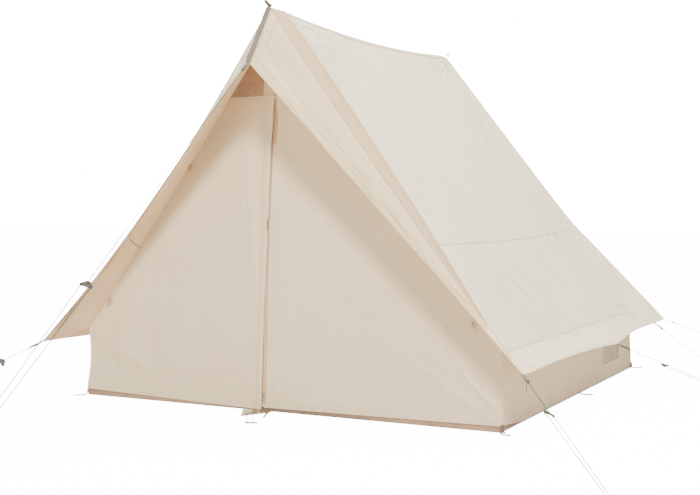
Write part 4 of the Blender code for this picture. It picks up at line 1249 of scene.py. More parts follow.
def sew_bands(form):
    """The raised seams, hems and the band over the ridge."""
    parts = []
    material, thread = seam_canvas(), seam_thread()
    last = form.points.shape[1] - 1
    all_ribs = np.arange(0, len(form.places))

    def across_band(name, row, low, high, height, ribs=all_ribs, cloth_of=material, inside=False):
        rows = np.array([[form.row_at(rib, row, distance) for distance in (low, high)] for rib in ribs])
        parts.append(laid_band(name, form, ribs[:, None], rows, height, cloth_of, inside))

    inner = all_ribs[3:-3]
    left = all_ribs[3:form.middle - 3]
    across_band("front_seam", form.boundary, 0.0, 0.010, 0.0007)
    across_band("front_seam_line", form.boundary, -0.0016, 0.0016, 0.0012, cloth_of=thread)
    across_band("crease_seam", form.front_fold, -0.003, 0.007, 0.0018, inner, thread)
    across_band("rear_seam", form.rear_seam, -0.010, 0.0, 0.0009)
    across_band("front_hem", 0, 0.0006, 0.016, 0.0012, inner, hood_canvas())
    across_band("flap_line", 0, 0.052, 0.0556, 0.0008, inner, thread)
    across_band("rear_hem", last, -0.020, -0.0006, 0.0008, inner)
    across_band("rear_edge_line", form.rear_fold, -0.034, -0.0316, 0.0006, inner, thread)
    across_band("rear_edging", last, -0.0065, -0.001, 0.0016, inner, thread)
    across_band("left_hood_edging", 0, 0.001, 0.011, 0.0010, left, thread, True)
    across_band("left_hood_line", 0, 0.038, 0.045, 0.0012, left, thread, True)
    across_band("left_crease_line", form.front_fold, -0.002, 0.005, 0.0012, left, thread, True)

    nose = np.linspace(form.front_fold * 0.45, form.boundary, 40)[:, None]
    for name, low, high in (("nose_line_right", 0.043, 0.0465), ("nose_line_left", -0.0465, -0.043)):
        both = np.broadcast_to(form.rib_at(np.array([low, high])), (len(nose), 2))
        parts.append(laid_band(name, form, both, nose, 0.0008, thread))

    under = np.linspace(form.front_fold, form.boundary, 30)[:, None]
    both = form.rib_at(np.linspace(-0.889, -0.855, 30)[:, None] + np.array([-0.002, 0.002]))
    parts.append(laid_band("left_panel_end", form, both, under, 0.0012, thread, True))

    rows = np.linspace(form.boundary, form.rear_seam, 110)
    share = (rows - form.boundary) / (form.rear_seam - form.boundary)
    droop = 0.012 * np.sin(math.pi * share) + 0.022 * (1 - share) ** 3
    for name, low, high, height, bend, cloth_of in (
        ("ridge_band", -0.018, 0.018, 0.0008, 0.0, material),
        ("ridge_line_right", 0.0152, 0.0180, 0.0018, 0.0, thread),
        ("ridge_line_left", -0.0180, -0.0152, 0.0018, 0.0, thread),
        ("right_wall_seam", HALF_WIDTH - 0.010, HALF_WIDTH + 0.002, 0.0008, 0.0, material),
        ("left_wall_seam", -HALF_WIDTH - 0.002, -HALF_WIDTH + 0.010, 0.0008, 0.0, material),
        ("right_wall_line", HALF_WIDTH - 0.0012, HALF_WIDTH + 0.0008, 0.0014, 0.0, thread),
        ("left_wall_line", -HALF_WIDTH - 0.0008, -HALF_WIDTH + 0.0012, 0.0014, 0.0, thread),
        ("right_panel_seam", 0.828, 0.8302, 0.0008, 1.0, thread),
        ("left_panel_seam", -0.8302, -0.828, 0.0008, -1.0, thread),
        ("right_eave_hem", EAVE_X - 0.016, EAVE_X - 0.0008, 0.0008, 0.0, material),
        ("left_eave_hem", -EAVE_X + 0.0008, -EAVE_X + 0.016, 0.0008, 0.0, material),
    ):
        places = np.array([low, high])[None, :] + bend * (droop - 0.018)[:, None]
        parts.append(laid_band(name, form, form.rib_at(places), rows[:, None], height, cloth_of))
    finish(joined("canopy_seams", parts))


# The upright cloth: gables, doors, walls and vent


def gable_outer(z):
    """Half the width of a gable at height z, kept clear of the roof's inner face."""
    slope = math.hypot(RIDGE_HEIGHT - WALL_HEIGHT, HALF_WIDTH) / (RIDGE_HEIGHT - WALL_HEIGHT)
    return np.minimum(roof_x(z) - SEAM_GAP * slope, HALF_WIDTH)


def hinge_x(side, z):
    """The fold of a door leaf at height z, from the corner's foot to the top of the zip."""
    share = (z - HEM_HEIGHT) / (VENT_SILL - HEM_HEIGHT)
    return side * HALF_WIDTH + (ZIP_X - side * HALF_WIDTH) * share


def folds_at(x, z, folds):
    """Height of soft straight folds at a place on the gable."""
    height = 0.0 * x
    for x0, z0, x1, z1, half, rise in folds:
        along, off = beside_line(x, z, (x0, z0), (x1, z1))
        off = off + 0.01 * np.sin(3 * along)
        height = height + rise * np.exp(-(off / half) ** 2) * smooth((along + 0.2) / 0.4) * smooth((1.2 - along) / 0.4)
    return height


def gable_wave(x, z):
    """How far the front gable's cloth stands out of its plane, positive outwards."""
    clear = smooth((gable_outer(z) - np.abs(x)) / 0.10)
    clear = clear * smooth((z - TUB_HEIGHT) / 0.10) * smooth((VENT_SILL - z) / 0.08)
    clear = clear * smooth((np.abs(x - ZIP_X) - 0.02) / 0.06)
    wave = 0.004 * np.sin(3.1 * x + 1.7 * z + 0.6) * np.sin(2.3 * z - 1.1 * x)
    wave = (wave + folds_at(x, z, GABLE_FOLDS)) * clear
    return wave + folds_at(x, z, FOOT_CREASES) * smooth((gable_outer(z) - np.abs(x)) / 0.03) * smooth((z - 0.03) / 0.02)


def hem_z(x):
    """Height of the front gable's hem above the floor, lowest beside the zip."""
    return np.interp(x, [-HALF_WIDTH, ZIP_X - 0.02, ZIP_X + 0.02, HALF_WIDTH], [0.036, 0.009, 0.020, HEM_HEIGHT])


def left_draw(z):
    """How far the left front corner is drawn in between its foot and the wall's top."""
    share = np.clip((z - TUB_HEIGHT) / (WALL_HEIGHT - TUB_HEIGHT), 0.0, 1.0)
    return 0.016 * np.sin(math.pi * share)


def gable_piece(name, low, high, z, columns, material=None, push=0.0, wave=gable_wave):
    """A sheet in the front gable's plane between two lines: the values of x, low and high, at the heights z."""
    share = np.linspace(0.0, 1.0, columns)
    x = np.outer(low + 0.0 * z, 1 - share) + np.outer(high + 0.0 * z, share)
    z = np.broadcast_to(z[:, None], x.shape)
    z = z + (hem_z(x) - HEM_HEIGHT) * (1.0 - smooth((z - HEM_HEIGHT) / 0.12))
    wave = wave(x, z) if callable(wave) else wave
    points = np.stack([x, front_y(z) - wave - push, z], axis=-1)
    return cloth(name, points, (0, -1, 0), material or gable_canvas(), offset=-1.0)


# Clearance round a door leaf, how far its top lies below the vent, and how far the vent's bands stand out
LEAF_GAP = 0.00005
LEAF_DROP = 0.0308
PLACKET_PUSH = 0.004
BINDING_PUSH = 0.0026


def sew_gable():
    for side, word, corner_width in ((1, "right", 0.30), (-1, "left", 0.42)):
        z = np.linspace(HEM_HEIGHT, VENT_SILL, 90)
        outer = gable_outer(z) if side > 0 else left_draw(z) - gable_outer(z)
        panel = gable_piece("gable_corner_" + word, hinge_x(side, z) + side * LEAF_GAP, outer, z, 26)
        finish(panel, ["front_panel_" + word])
        z = np.linspace(HEM_HEIGHT, VENT_SILL - LEAF_DROP, 110)
        seam = ZIP_X + side * (TAPE_WIDTH + LEAF_GAP)
        outer = side * np.maximum(side * (hinge_x(side, z) - side * LEAF_GAP), side * seam)
        leaf = gable_piece("door_leaf_" + word, seam, outer, z, 60)
        finish(leaf, ["door_" + word], "door_" + word)


def select_only(mesh, kind, wanted):
    """Selects the edges or faces for which wanted is true, and nothing else."""
    bpy.context.tool_settings.mesh_select_mode = (False, kind == "edges", kind == "polygons")
    for part in (mesh.vertices, mesh.edges, mesh.polygons):
        part.foreach_set("select", np.zeros(len(part), dtype=bool))
    for item in getattr(mesh, kind):
        item.select = wanted(item)


def wall_piece(name, side, material):
    """A low side wall with its window opening left out."""
    (start, end), (sill, head) = WINDOW_SPANS
    z = np.unique(np.concatenate([
        np.linspace(HEM_HEIGHT, sill, 7), np.linspace(sill, head, 12), np.linspace(head, WALL_HEIGHT - SEAM_GAP, 8)]))
    y_low = front_y(z) + 0.0017
    y_high = rear_y(z) - 0.0017
    before, inside, after = (np.linspace(0.0, 1.0, count)[None, :] for count in (64, 16, 20))
    y = np.concatenate([y_low[:, None] + (start - y_low)[:, None] * before[:, :-1],
                        np.broadcast_to(start + (end - start) * inside[:, :-1], (len(z), 15)),
                        end + (y_high - end)[:, None] * after], axis=1)
    z = np.broadcast_to(z[:, None], y.shape)
    calm = smooth((z - TUB_HEIGHT - 0.015) / 0.06) * smooth((WALL_HEIGHT - z) / 0.05)
    ends = smooth((y - y[:, :1]) / 0.12) * smooth((y[:, -1:] - y) / 0.12)
    bow = 0.005 * np.sin(5.2 * y + 0.8) + 0.004 * np.sin(11.0 * y + 3.0 * z)
    drawn = left_draw(z) * np.exp(-((y - y[:, :1]) / 0.22) ** 2) if side < 0 else 0.0
    x = side * (HALF_WIDTH + calm * ends * bow * 0.6 - drawn)
    low_hem = 0.020 * smooth((y - y[:, :1]) / 0.30) * smooth((y[:, -1:] - y) / 0.06)
    z = z - low_hem * (1.0 - smooth((z - HEM_HEIGHT) / 0.08))
    obj = cloth(name, np.stack([x, y, z], axis=-1), (side, 0, 0), material, 0.0)
    select_only(obj.data, "polygons", lambda face: start < face.center.y < end and sill < face.center.z < head)
    edit(obj, ("delete", {"type": "FACE"}))
    modify(obj, "SOLIDIFY", thickness=settings().canvas_thickness, offset=-1.0)
    shade(obj)
    return obj


def window_binding(name, side, material, netting):
    """The window's bound edge, a frame of tape with mitred corners, and the netting inside it."""
    (start, end), (sill, head) = WINDOW_SPANS
    inner = np.array([(start, sill), (end, sill), (end, head), (start, head), (start, sill)])
    outer = inner + 0.011 * np.array([(-1, -1), (1, -1), (1, 1), (-1, 1), (-1, -1)])
    profile = ((0.0, -0.001), (0.05, 0.0035), (0.2, 0.0042), (0.8, 0.0042), (1.0, 0.003), (1.0, -0.001))
    rings = np.array([[(side * (HALF_WIDTH + lift), *(far * (1 - share) + near * share)) for share, lift in profile]
                      for far, near in zip(outer, inner)])
    steps = [first * (1 - t) + second * t for first, second in zip(rings, rings[1:])
             for t in np.linspace(0.0, 1.0, 14, endpoint=False)]
    obj = loft(name, steps + [rings[-1]], material, angle=40)
    y = np.linspace(start - 0.008, end + 0.008, 20)
    z = np.linspace(sill - 0.008, head + 0.008, 12)
    gz, gy = np.meshgrid(z, y, indexing="ij")
    bulge = 0.002 * np.sin(math.pi * (gy - start) / WINDOW_LENGTH) * np.sin(math.pi * (gz - sill) / WINDOW_HEIGHT)
    x = side * (HALF_WIDTH - 0.0016 - np.clip(bulge, 0.0, 1.0))
    net = cloth(name + "_netting", np.stack([x, gy, gz], axis=-1), (side, 0, 0), netting, 0.0006, offset=-1.0)
    return obj, net


def sew_walls():
    netting = netting_material("window_netting", looks().window_netting)
    for side, word in ((1, "right"), (-1, "left")):
        wall = wall_piece("low_wall_" + word, side, gable_canvas())
        finish(wall, ["side_wall_" + word])
        frame_piece, net = window_binding("window_" + word, side, seam_canvas(), netting)
        finish(frame_piece)
        finish(net, ["window_mesh_" + word])


REAR_WALL_TOP = 1.955


def sew_rear_wall():
    z = np.linspace(HEM_HEIGHT, REAR_WALL_TOP, 100)
    outer = gable_outer(z)
    x = np.outer(outer, np.linspace(-1.0, 1.0, 101))
    zz = np.broadcast_to(z[:, None], x.shape)
    clear = smooth((outer[:, None] - np.abs(x)) / 0.12) * smooth((zz - HEM_HEIGHT) / 0.06)
    clear = clear * smooth((REAR_WALL_TOP - zz) / 0.1)
    bow = 0.006 * np.sin(2.8 * x + 0.5) * np.sin(3.1 * zz) + 0.003 * np.sin(7.0 * x - 4.0 * zz)
    y = rear_y(zz) + bow * clear
    obj = cloth("rear_gable", np.stack([x, y, zz], axis=-1), (0, 1, 0), gable_canvas(), offset=-1.0)
    finish(obj, ["rear_wall"])


def sew_vent():
    z = np.linspace(VENT_SILL - 0.020, float(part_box("vent_mesh")[1][2]), 24)
    vent = gable_piece("vent_netting", -gable_outer(z), gable_outer(z), z, 30,
                       netting_material("vent_netting", looks().netting), wave=0.0016)
    finish(vent, ["vent_mesh"])
    placket = gable_piece("vent_placket", -0.1035, -0.036, np.linspace(1.571, 1.80, 14), 10,
                          push=PLACKET_PUSH, wave=0.0)
    finish(placket)
    z = np.linspace(VENT_SILL - 0.030, VENT_SILL - 0.017, 5)
    edge = gable_outer(z) - 0.003
    sill = gable_piece("vent_binding", -edge, edge, z, 40, push=BINDING_PUSH, wave=0.0)
    finish(sill)


def spread_sill():
    """The loose edge of the floor beside the zip, folded out over the ground, with two ties to a small bar."""
    s, t = np.linspace(0.0, 1.0, 26), np.linspace(0.0, 1.0, 18)
    front = front_y(0.0)
    near = -0.192 + 0.168 * s
    far = np.interp(s, [0.0, 0.3, 0.6, 1.0], [-0.088, -0.066, -0.040, -0.012])
    reach = np.interp(s, [0.0, 0.3, 0.6, 1.0], [0.188, 0.138, 0.082, 0.044]) + 0.004 * np.sin(40.0 * s)
    x = np.outer(near, 1.0 - t) + np.outer(far, t)
    y = front + 0.004 - np.outer(reach, t)
    crumple = 0.0011 * np.sin(12.0 * s)[:, None] * np.sin(math.pi * t)[None, :]
    z = 0.0016 + 0.0034 * (1.0 - t)[None, :] ** 2 + np.abs(crumple) + 0.0018 * smooth((t[None, :] - 0.8) / 0.2)
    sill = cloth("sill_fold", np.stack([x, y, z], axis=-1), (0, 0, 1), groundsheet_material(), COATED_THICKNESS)
    sill.data.materials.append(gable_canvas())
    for face in sill.data.polygons:
        turned_back = face.center.x < -0.125 + 0.2 * (front - face.center.y) and face.normal.z > 0.2
        face.material_index = int(turned_back)
    finish(sill)

    def laid_route(points):
        return curved([Vector((x, front - out, height)) for x, out, height in points], 20)

    parts = [tube(name, laid_route(points), radius, seam_canvas(), sides=8) for name, radius, points in (
        ("tie", 0.0020, [(-0.099, 0.081, 0.0085), (-0.050, 0.180, 0.0048), (0.018, 0.294, 0.0036)]),
        ("tie", 0.0020, [(-0.098, 0.070, 0.0085), (-0.030, 0.170, 0.0045), (0.050, 0.290, 0.0036)]),
        ("hook", 0.0026, [(-0.088, 0.028, 0.0085), (-0.030, 0.100, 0.0055), (0.015, 0.162, 0.0036)]))]
    parts += [
        strap("bar", laid_route([(0.020, 0.316, 0.0050), (0.078, 0.299, 0.0050)]), (0, 1, 0), 0.013, 0.0060,
              webbing_material()),
        strap("buckle", laid_route([(-0.019, 0.045, 0.0052), (0.026, 0.158, 0.0048)]), (1, 0.4, 0), 0.011, 0.005,
              plastic_material("slider_plastic", looks().plastic)),
    ]
    finish(joined("sill_ties", parts))


# The floor tray inside the walls, and how thick its coated cloth is
TRAY_INSET = 0.0016
COATED_THICKNESS = 0.0011


def sew_groundsheet():
    """A tray: the floor and its low sides, rounded where they turn up, behind the hems."""
    heights = [TUB_HEIGHT, 0.05, 0.042, 0.034, 0.027, 0.020, 0.013, 0.007, 0.003, 0.0012, 0.0012]
    insets = [0.0, 0.0, 0.0, 0.0, 0.0, 0.0, 0.0006, 0.0018, 0.004, 0.008, 0.03]
    rings = []
    for height, extra in zip(heights, insets):
        x = HALF_WIDTH - TRAY_INSET - extra
        front = front_y(height) + TRAY_INSET + extra
        rear = rear_y(height) - TRAY_INSET - extra
        corners = np.array([(-x, front, height), (x, front, height), (x, rear, height), (-x, rear, height),
                            (-x, front, height)])
        rings.append([a + (b - a) * t for a, b in zip(corners, corners[1:])
                      for t in np.linspace(0.0, 1.0, 60, endpoint=False)])
    obj = add_grid("floor_tray", closed_rings(rings))
    edit(obj, *MERGED)
    mesh = obj.data
    limit = HALF_WIDTH - TRAY_INSET - insets[-1] + 0.0005

    def round_the_floor(edge):
        ends = [mesh.vertices[i].co for i in edge.vertices]
        return all(c.z < 0.0015 and abs(c.x) < limit and front_y(0) + 0.031 < c.y < rear_y(0) - 0.031
                   for c in ends) and (ends[0] - ends[1]).length > 0.03

    select_only(mesh, "edges", round_the_floor)
    edit(obj, ("edge_face_add", {}), *TURNED_OUT)
    modify(obj, "SOLIDIFY", thickness=COATED_THICKNESS, offset=-1.0)
    mesh.materials.append(groundsheet_material())
    shade(obj)
    finish(obj, ["groundsheet"])


# Webbing, zip, sliders and small parts


def sew_front_strap():
    """Webbing down the front fold of the hood, and the short strap end at the peak."""
    peak, tip = Vector(FRONT_PEAK), Vector(FRONT_TIP)
    down = (tip - peak).normalized()
    out = Vector((0, down.z, -down.y)).normalized()
    path = [peak.lerp(tip, t) + out * 0.0035 for t in np.linspace(0.01, 1.0, 30)]
    strip = strap("hood_webbing", path, (1, 0, 0), 0.030, 0.0018, webbing_material())
    route = [peak + Vector(v) for v in (
        (0.002, 0.012, 0.002), (0.0, -0.004, 0.006), (-0.004, -0.016, 0.014), (-0.010, -0.028, 0.026))]
    end = strap("peak_strap", curved(route, 14), (0.8, -0.3, 0.3), 0.022, 0.0026, webbing_material())
    rear = Vector(REAR_PEAK) + Vector((0, 0.008, 0.003))
    loop = lashed_loop(rear, Vector((0, 0.5, 0.8)), Vector((1, 0, 0)), 0.026, 0.009, 0.008)
    finish(joined("hood_webbing", [strip, end, loop]))


def thin_cord(points, radius, material=None, sides=8):
    return tube("thin_cord", points, radius, material or cord_material(), sides=sides)


def knot(centre, direction, radius, cord, turns):
    """A few tight turns of cord round a line."""
    level, upward = frame_along(direction)
    points = []
    for i in range(int(turns * 12) + 1):
        turn = 2 * math.pi * i / 12
        along = direction * (cord * 1.05 * (i / 12 - turns / 2))
        points.append(centre + along + (level * math.cos(turn) + upward * math.sin(turn)) * radius)
    return thin_cord(points, cord / 2)


def lashed_loop(centre, forward, across, length, half, cord, material=None):
    """A small drop-shaped loop of cord that lies in the plane of forward and across."""
    points = []
    for turn in np.linspace(-math.pi, math.pi, 25):
        bulge = 0.5 + 0.5 * math.cos(turn)
        points.append(centre + forward * length * bulge + across * half * math.sin(turn) * (0.35 + bulge * 0.8))
    return thin_cord(points, cord / 2, material)


def sew_tabs():
    """The webbing tabs round the hem: a folded strap, a knot and an eye of cord, and on some a loose end of cord."""
    rows = [(name, root, ground, gap) for name, _, root, ground, gap, *_ in ADJUSTABLE_GUYS + SHORT_GUYS]
    for name, root, ground, gap in rows + list(BARE_TABS):
        direction = (ground - root).normalized()
        across, lift = frame_along(direction)
        start = root + direction * gap
        shape = [(-0.010, 0.0), (0.006, 0.0006), (0.030, 0.00238), (0.052, 0.0034), (0.0585, 0.00255), (0.0605, 0.0),
                 (0.0585, -0.00255), (0.052, -0.0034), (0.030, -0.00238), (0.006, -0.0008), (-0.006, -0.0016)]
        path = curved([start + direction * a + lift * b for a, b in shape], 40)
        width = 0.018 if "rear_side" not in name else 0.014
        eye = start + direction * (TAB_LENGTH - 0.001)
        parts = [strap(name + "_webbing", path, across, width, 0.0015, webbing_material()),
                 knot(eye + direction * 0.006, direction, 0.0036, 0.0032, 2.2),
                 lashed_loop(eye - direction * 0.010, direction, lift, 0.016, 0.0045, 0.0030)]
        if name in ("middle_tab_right", "rear_corner_tab_right", "front_corner_tab_left", "front_corner_tab_right"):
            side = across * (1 if name != "front_corner_tab_left" else -1)
            tail = [eye + direction * 0.007 + side * 0.004 + lift * 0.001]
            tail += [eye + direction * ahead + side * beside - Vector((0, 0, drop))
                     for ahead, beside, drop in ((0.014, 0.010, 0.004), (0.019, 0.012, 0.016), (0.020, 0.012, 0.030))]
            parts.append(thin_cord(curved(tail, 14), 0.0017))
        finish(joined(name + "_webbing", parts), [name])


def outline_plate(name, outline, eyes, lift, material):
    """A flat plate with rounded edges, from its outline, with a round hole at each eye."""
    bpy.ops.mesh.primitive_circle_add(vertices=len(outline), radius=1.0, fill_type="NGON")
    obj = named(name)
    for vertex, point in zip(obj.data.vertices, outline):
        vertex.co = point
    modify(obj, "SOLIDIFY", thickness=PLATE_THICKNESS, offset=0.0)
    for eye in eyes:
        bpy.ops.mesh.primitive_cylinder_add(vertices=20, radius=PLATE_EYE_RADIUS, depth=PLATE_THICKNESS * 3)
        drill = bpy.context.object
        drill.data.transform(Matrix.Translation(eye) @ lift.to_track_quat("Z", "Y").to_matrix().to_4x4())
        modify(obj, "BOOLEAN", operation="DIFFERENCE", object=drill)
        bpy.data.objects.remove(drill, do_unlink=True)
    modify(obj, "BEVEL", width=0.0009, segments=2, angle_limit=math.radians(50))
    obj.data.materials.clear()
    obj.data.materials.append(material)
    shade(obj, 35)
    return obj


def rounded_outline(corners):
    """The corners of the slider's plate, each turned into a short curve."""
    points = []
    for before, corner, after in zip(corners[-1:] + corners, corners, corners[1:] + corners[:1]):
        start = corner + (before - corner).normalized() * PLATE_ROUNDING
        end = corner + (after - corner).normalized() * PLATE_ROUNDING
        for t in np.linspace(0.0, 1.0, 6):
            points.append(start * (1 - t) ** 2 + corner * 2 * t * (1 - t) + end * t ** 2)
    return points


def mould_sliders():
    """Triangular sliders: one eye for the line at the nose and two for the loop at the wide end."""
    material = plastic_material("slider_plastic", looks().plastic)
    for _, name, root, ground, gap, share, roll in ADJUSTABLE_GUYS:
        place = guy_places(root, ground, gap, share, roll)
        along, across, lift, centre = (place[key] for key in ("direction", "across", "lift", "centre"))
        half, wide = SLIDER_WIDTH / 2, SLIDER_LENGTH
        corners = [centre + along * ahead + across * beside for ahead, beside in (
            (-0.004, -0.009), (-0.004, 0.009), (wide * 0.70, half), (wide, half * 0.86), (wide, -half * 0.86),
            (wide * 0.70, -half))]
        eyes = [centre + along * 0.0055, centre + along * wide * 0.74 + across * STRAND_SPREAD,
                centre + along * wide * 0.74 - across * STRAND_SPREAD]
        parts = [outline_plate(name + "_triangle", rounded_outline(corners), eyes, lift, material)]
        for eye in eyes[1:]:
            parts.append(knot(eye + lift * 0.0035, lift, 0.0028, 0.003, 1.6))
            parts.append(thin_cord(curved([eye - lift * 0.0042, eye - lift * 0.0048 + along * 0.004,
                                           eye + along * 0.0105 - lift * 0.002], 8), 0.0018))
        parts.append(knot(eyes[0] - lift * 0.0042, lift, 0.0027, 0.003, 1.6))
        parts.append(thin_cord(curved([eyes[0] - lift * 0.003, eyes[0] + lift * 0.0022,
                                       place["on_line"] - along * 0.008], 8), 0.0018))
        finish(joined(name + "_triangle", parts), [name + "_slider"], name + "_slider")


# Peg loops: name, place across, place along and the way each one points
LOOP_INSET = 0.0015
LOOP_X = HALF_WIDTH - LOOP_INSET
LOOP_ROWS = (
    ("front_right", LOOP_X, FRONT_FOOT, (1, -1)),
    ("front_left", -LOOP_X, FRONT_FOOT, (-1, -1)),
    ("rear_right", LOOP_X, REAR_FOOT, (1, 1)),
    ("rear_left", -LOOP_X, REAR_FOOT, (-1, 1)),
    ("side_right", LOOP_X, FRONT_FOOT + 1.23, (1, 0)),
    ("side_left", -LOOP_X, FRONT_FOOT + 1.23, (-1, 0)),
    ("door", ZIP_X, FRONT_FOOT, (0, -1)),
)


def sew_peg_loops():
    """Narrow webbing sewn to the foot of the wall, which runs out along the ground round a peg and back."""
    for word, x, y, way in LOOP_ROWS:
        name = "peg_loop_" + word
        out = Vector((*way, 0)).normalized()
        across = Vector((-out.y, out.x, 0))
        start = Vector((x, y - way[1] * LOOP_INSET, 0.0))
        root = [(0.0, 0.006, 0.024), (0.004, 0.007, 0.010)]
        if "side" in name:
            root = [(0.0, 0.006, 0.0070), (0.006, 0.007, 0.0045)]
        route = root + [(0.014, 0.009, 0.0028), (0.040, 0.0115, 0.0024), (0.062, 0.0110, 0.0030),
                        (0.073, 0.006, 0.0040), (0.0755, 0.0, 0.0042)]
        route += [(a, -b, c) for a, b, c in reversed(route[:-1])]
        points = [start + out * a + across * b + Vector((0, 0, c)) for a, b, c in route]
        path = curved(points, 60)
        ahead = (path - np.array(start)) @ np.array(out)
        turn = smooth((ahead - 0.05) / 0.025) * np.where(np.arange(60) < 30, 1, -1) * math.pi / 2
        sides = np.outer(np.cos(turn), across) + np.outer(np.sin(turn), out)
        parts = [strap(name + "_webbing", path, sides, 0.0095, 0.0026, webbing_material())]
        if way[0] and way[1]:
            root = [start + out * 0.0035 + Vector((0, 0, height)) for height in np.linspace(0.040, 0.004, 9)]
            parts.append(strap(name + "_root", root, across, 0.020, 0.0016, webbing_material()))
        finish(joined(name + "_webbing", parts), [name])


def sew_storm_flap():
    """The flap over the zip, sewn to the left leaf, and the facing on the right leaf's edge, drawn dark beside the
    flap's free edge: partly the facing's own cloth, partly a painted shadow of the flap.
    """
    z = np.linspace(0.009, 1.575, 150)
    share = z / VENT_SILL
    seam = -0.116 + 0.0165 * share
    edge = -0.079 + 0.043 * share ** 1.6 + 0.0016 * np.sin(9 * z) + 0.0008 * np.sin(31 * z + 1)
    t = np.linspace(0.0, 1.0, 12)
    x = np.outer(seam, 1 - t) + np.outer(edge, t)
    lift = 0.0008 + 0.0082 * np.sin(t * math.pi * 0.62)[None, :] * (1 + 0.16 * np.sin(7 * z + 0.5)[:, None])
    lift = lift * (1.0 + 0.5 * smooth((z - 1.15) / 0.2))[:, None]
    y = front_y(z)[:, None] - lift
    points = np.stack([x, y, np.broadcast_to(z[:, None], x.shape)], axis=-1)
    flap = cloth("storm_flap", points, (0, -1, 0), gable_canvas(), 0.0014)
    finish(flap, body="door_left")
    first, last = points[:, 0], points[:, -1]
    parts = []
    for a, b in ((points[:, 8], last), (first * 1.10 - last * 0.10, first * 0.93 + last * 0.07)):
        rings = [a + (0, 0.0012, 0), a + (0, -0.0016, 0), (a + b) / 2 + (0, -0.0020, 0),
                 b + (0, -0.0016, 0), b + (0, 0.0012, 0)]
        parts.append(loft("flap_hem", np.stack(rings, axis=1), gable_canvas()))
    tag = curved(points[85:91, -1] - (0.002, 0.0024, 0.0), 12)
    parts.append(strap("flap_tag", tag, (1, 0, 0), 0.005, 0.0016, cord_material()))
    finish(joined("storm_flap_hem", parts), body="door_left")
    # The facing's dark strip is kept just beside the storm flap's free edge: partly the facing's own cloth, partly a
    # painted shadow of the flap. The wedge where it widens near the top is painted shadow.
    z = np.linspace(0.034, 1.575, 120)
    beside = np.maximum(ZIP_X + 0.022, ZIP_X + 0.005 + 0.043 * (z / VENT_SILL) ** 1.6)
    edge = beside + 0.018 * smooth((z - 1.315) / 0.04) * (1.0 - smooth((z - 1.42) / 0.17))
    inner, outer = front_y(z) + 0.0004, front_y(z) - 0.0013
    profile = ((ZIP_X + 0.0125, inner), (ZIP_X + 0.0135, outer), (edge - 0.0015, outer), (edge, inner))
    facing = np.stack([np.stack([x + 0.0 * z, y, z], axis=-1) for x, y in profile], axis=1)
    finish(loft("zip_facing", facing, seam_thread()), body="door_right")


def sew_zip():
    """Two woven tapes, each with its row of teeth."""
    tone = looks().zip_tape
    tape = plastic_material("zip_tape_cloth", tone, 0.8, 0.0001)
    teeth_material = plastic_material("zip_teeth", toned(tone, 0.8), 0.4)
    low, high, pitch = 0.033, 1.535, 0.0025
    for side, word in ((1, "right"), (-1, "left")):
        rings = []
        for v in np.linspace(low - 0.012, high, 60):
            y = front_y(v)
            rings.append([(ZIP_X + side * a, y + b, v) for a, b in (
                (0.0011, 0.0001), (0.0045, 0.0), (0.0118, 0.0), (0.0118, 0.0008), (0.0045, 0.0009), (0.0011, 0.0009))])
        strip = loft("tape", rings, tape)
        bpy.ops.mesh.primitive_cube_add(size=1.0)
        tooth = named("teeth_" + word)
        first = (ZIP_X + side * 0.00165, front_y(low) - 0.0005, low + (0.0006 if side > 0 else 0.0018))
        tooth.data.transform(Matrix.Translation(first) @ Matrix.Diagonal((0.0029, 0.0011, 0.0011, 1.0)))
        modify(tooth, "ARRAY", use_relative_offset=False, use_constant_offset=True, count=int((high - low) / pitch),
               constant_offset_displace=(0.0, FRONT_LEAN * pitch, pitch))
        tooth.data.materials.append(teeth_material)
        finish(joined("zip_" + word, [strip, tooth]), ["zip_tape_" + word], "door_" + word)


def drape_toggles():
    """Loops with small toggles that hold the rolled door leaves, beside the gable's sloping edges."""
    wood = plastic_material("toggle_wood", [0.50, 0.33, 0.20], 0.55)
    cord = plastic_material("toggle_cord", [0.55, 0.38, 0.26], 0.8, 0.0002)
    for side, word in ((1, "right"), (-1, "left")):
        parts = []
        for x, z in ((0.536, 1.236), (1.036, 0.500 if side > 0 else 0.530)):
            base = Vector((side * x, front_y(z) - 0.004, z))
            down = Vector((side * 0.15, -0.12, -1)).normalized()
            sideways = Vector((1, 0, 0)) * side
            ring = [base + down * (0.013 + 0.010 * math.sin(t)) + sideways * 0.011 * math.cos(t) - Vector((0, 0.004, 0))
                    for t in np.linspace(0.0, 2 * math.pi, 25)]
            tail = [base + down * 0.02, base + down * 0.034 + sideways * 0.010, base + down * 0.055 + sideways * 0.012]
            bar = [base + down * 0.032 - sideways * 0.010, base + down * 0.033,
                   base + down * 0.032 + sideways * 0.010]
            parts += [lashed_loop(base, down, sideways, 0.030, 0.008, 0.0032, cord),
                      thin_cord(ring, 0.003, wood), thin_cord(curved(tail, 10), 0.0018, cord, 6),
                      thin_cord(curved(bar, 7), 0.0035, wood, 10)]
        finish(joined("toggles_" + word, parts))


def finish_frame():
    """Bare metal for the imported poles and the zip's slider, dark plastic for the joints."""
    materials = {
        "pole": metal_material("pole_metal", looks().poles),
        "joint": plastic_material("joint_plastic", [0.10, 0.10, 0.105], 0.5),
        "zip_slider": metal_material("zip_slider_metal", [0.36, 0.34, 0.31], 0.35),
    }
    for name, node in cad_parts.items():
        for word, material in materials.items():
            if word in name:
                node.data.materials.clear()
                node.data.materials.append(material)


# Studio: how brightly the camera sees the paper and the air, and how much light the air gives

PAPER_GLOW = 14.0
AIR_GLOW = 24.0
AIR_LIGHT = 1.02


def area_light(name, place, target, size, power, colour):
    data = bpy.data.lights.new(name, "AREA")
    data.shape = "DISK"
    data.size = size
    data.energy = power
    data.color = colour
    lamp = bpy.data.objects.new(name, data)
    bpy.context.scene.collection.objects.link(lamp)
    lamp.location = place
    lamp.rotation_euler = (Vector(place) - Vector(target)).to_track_quat("Z", "Y").to_euler()


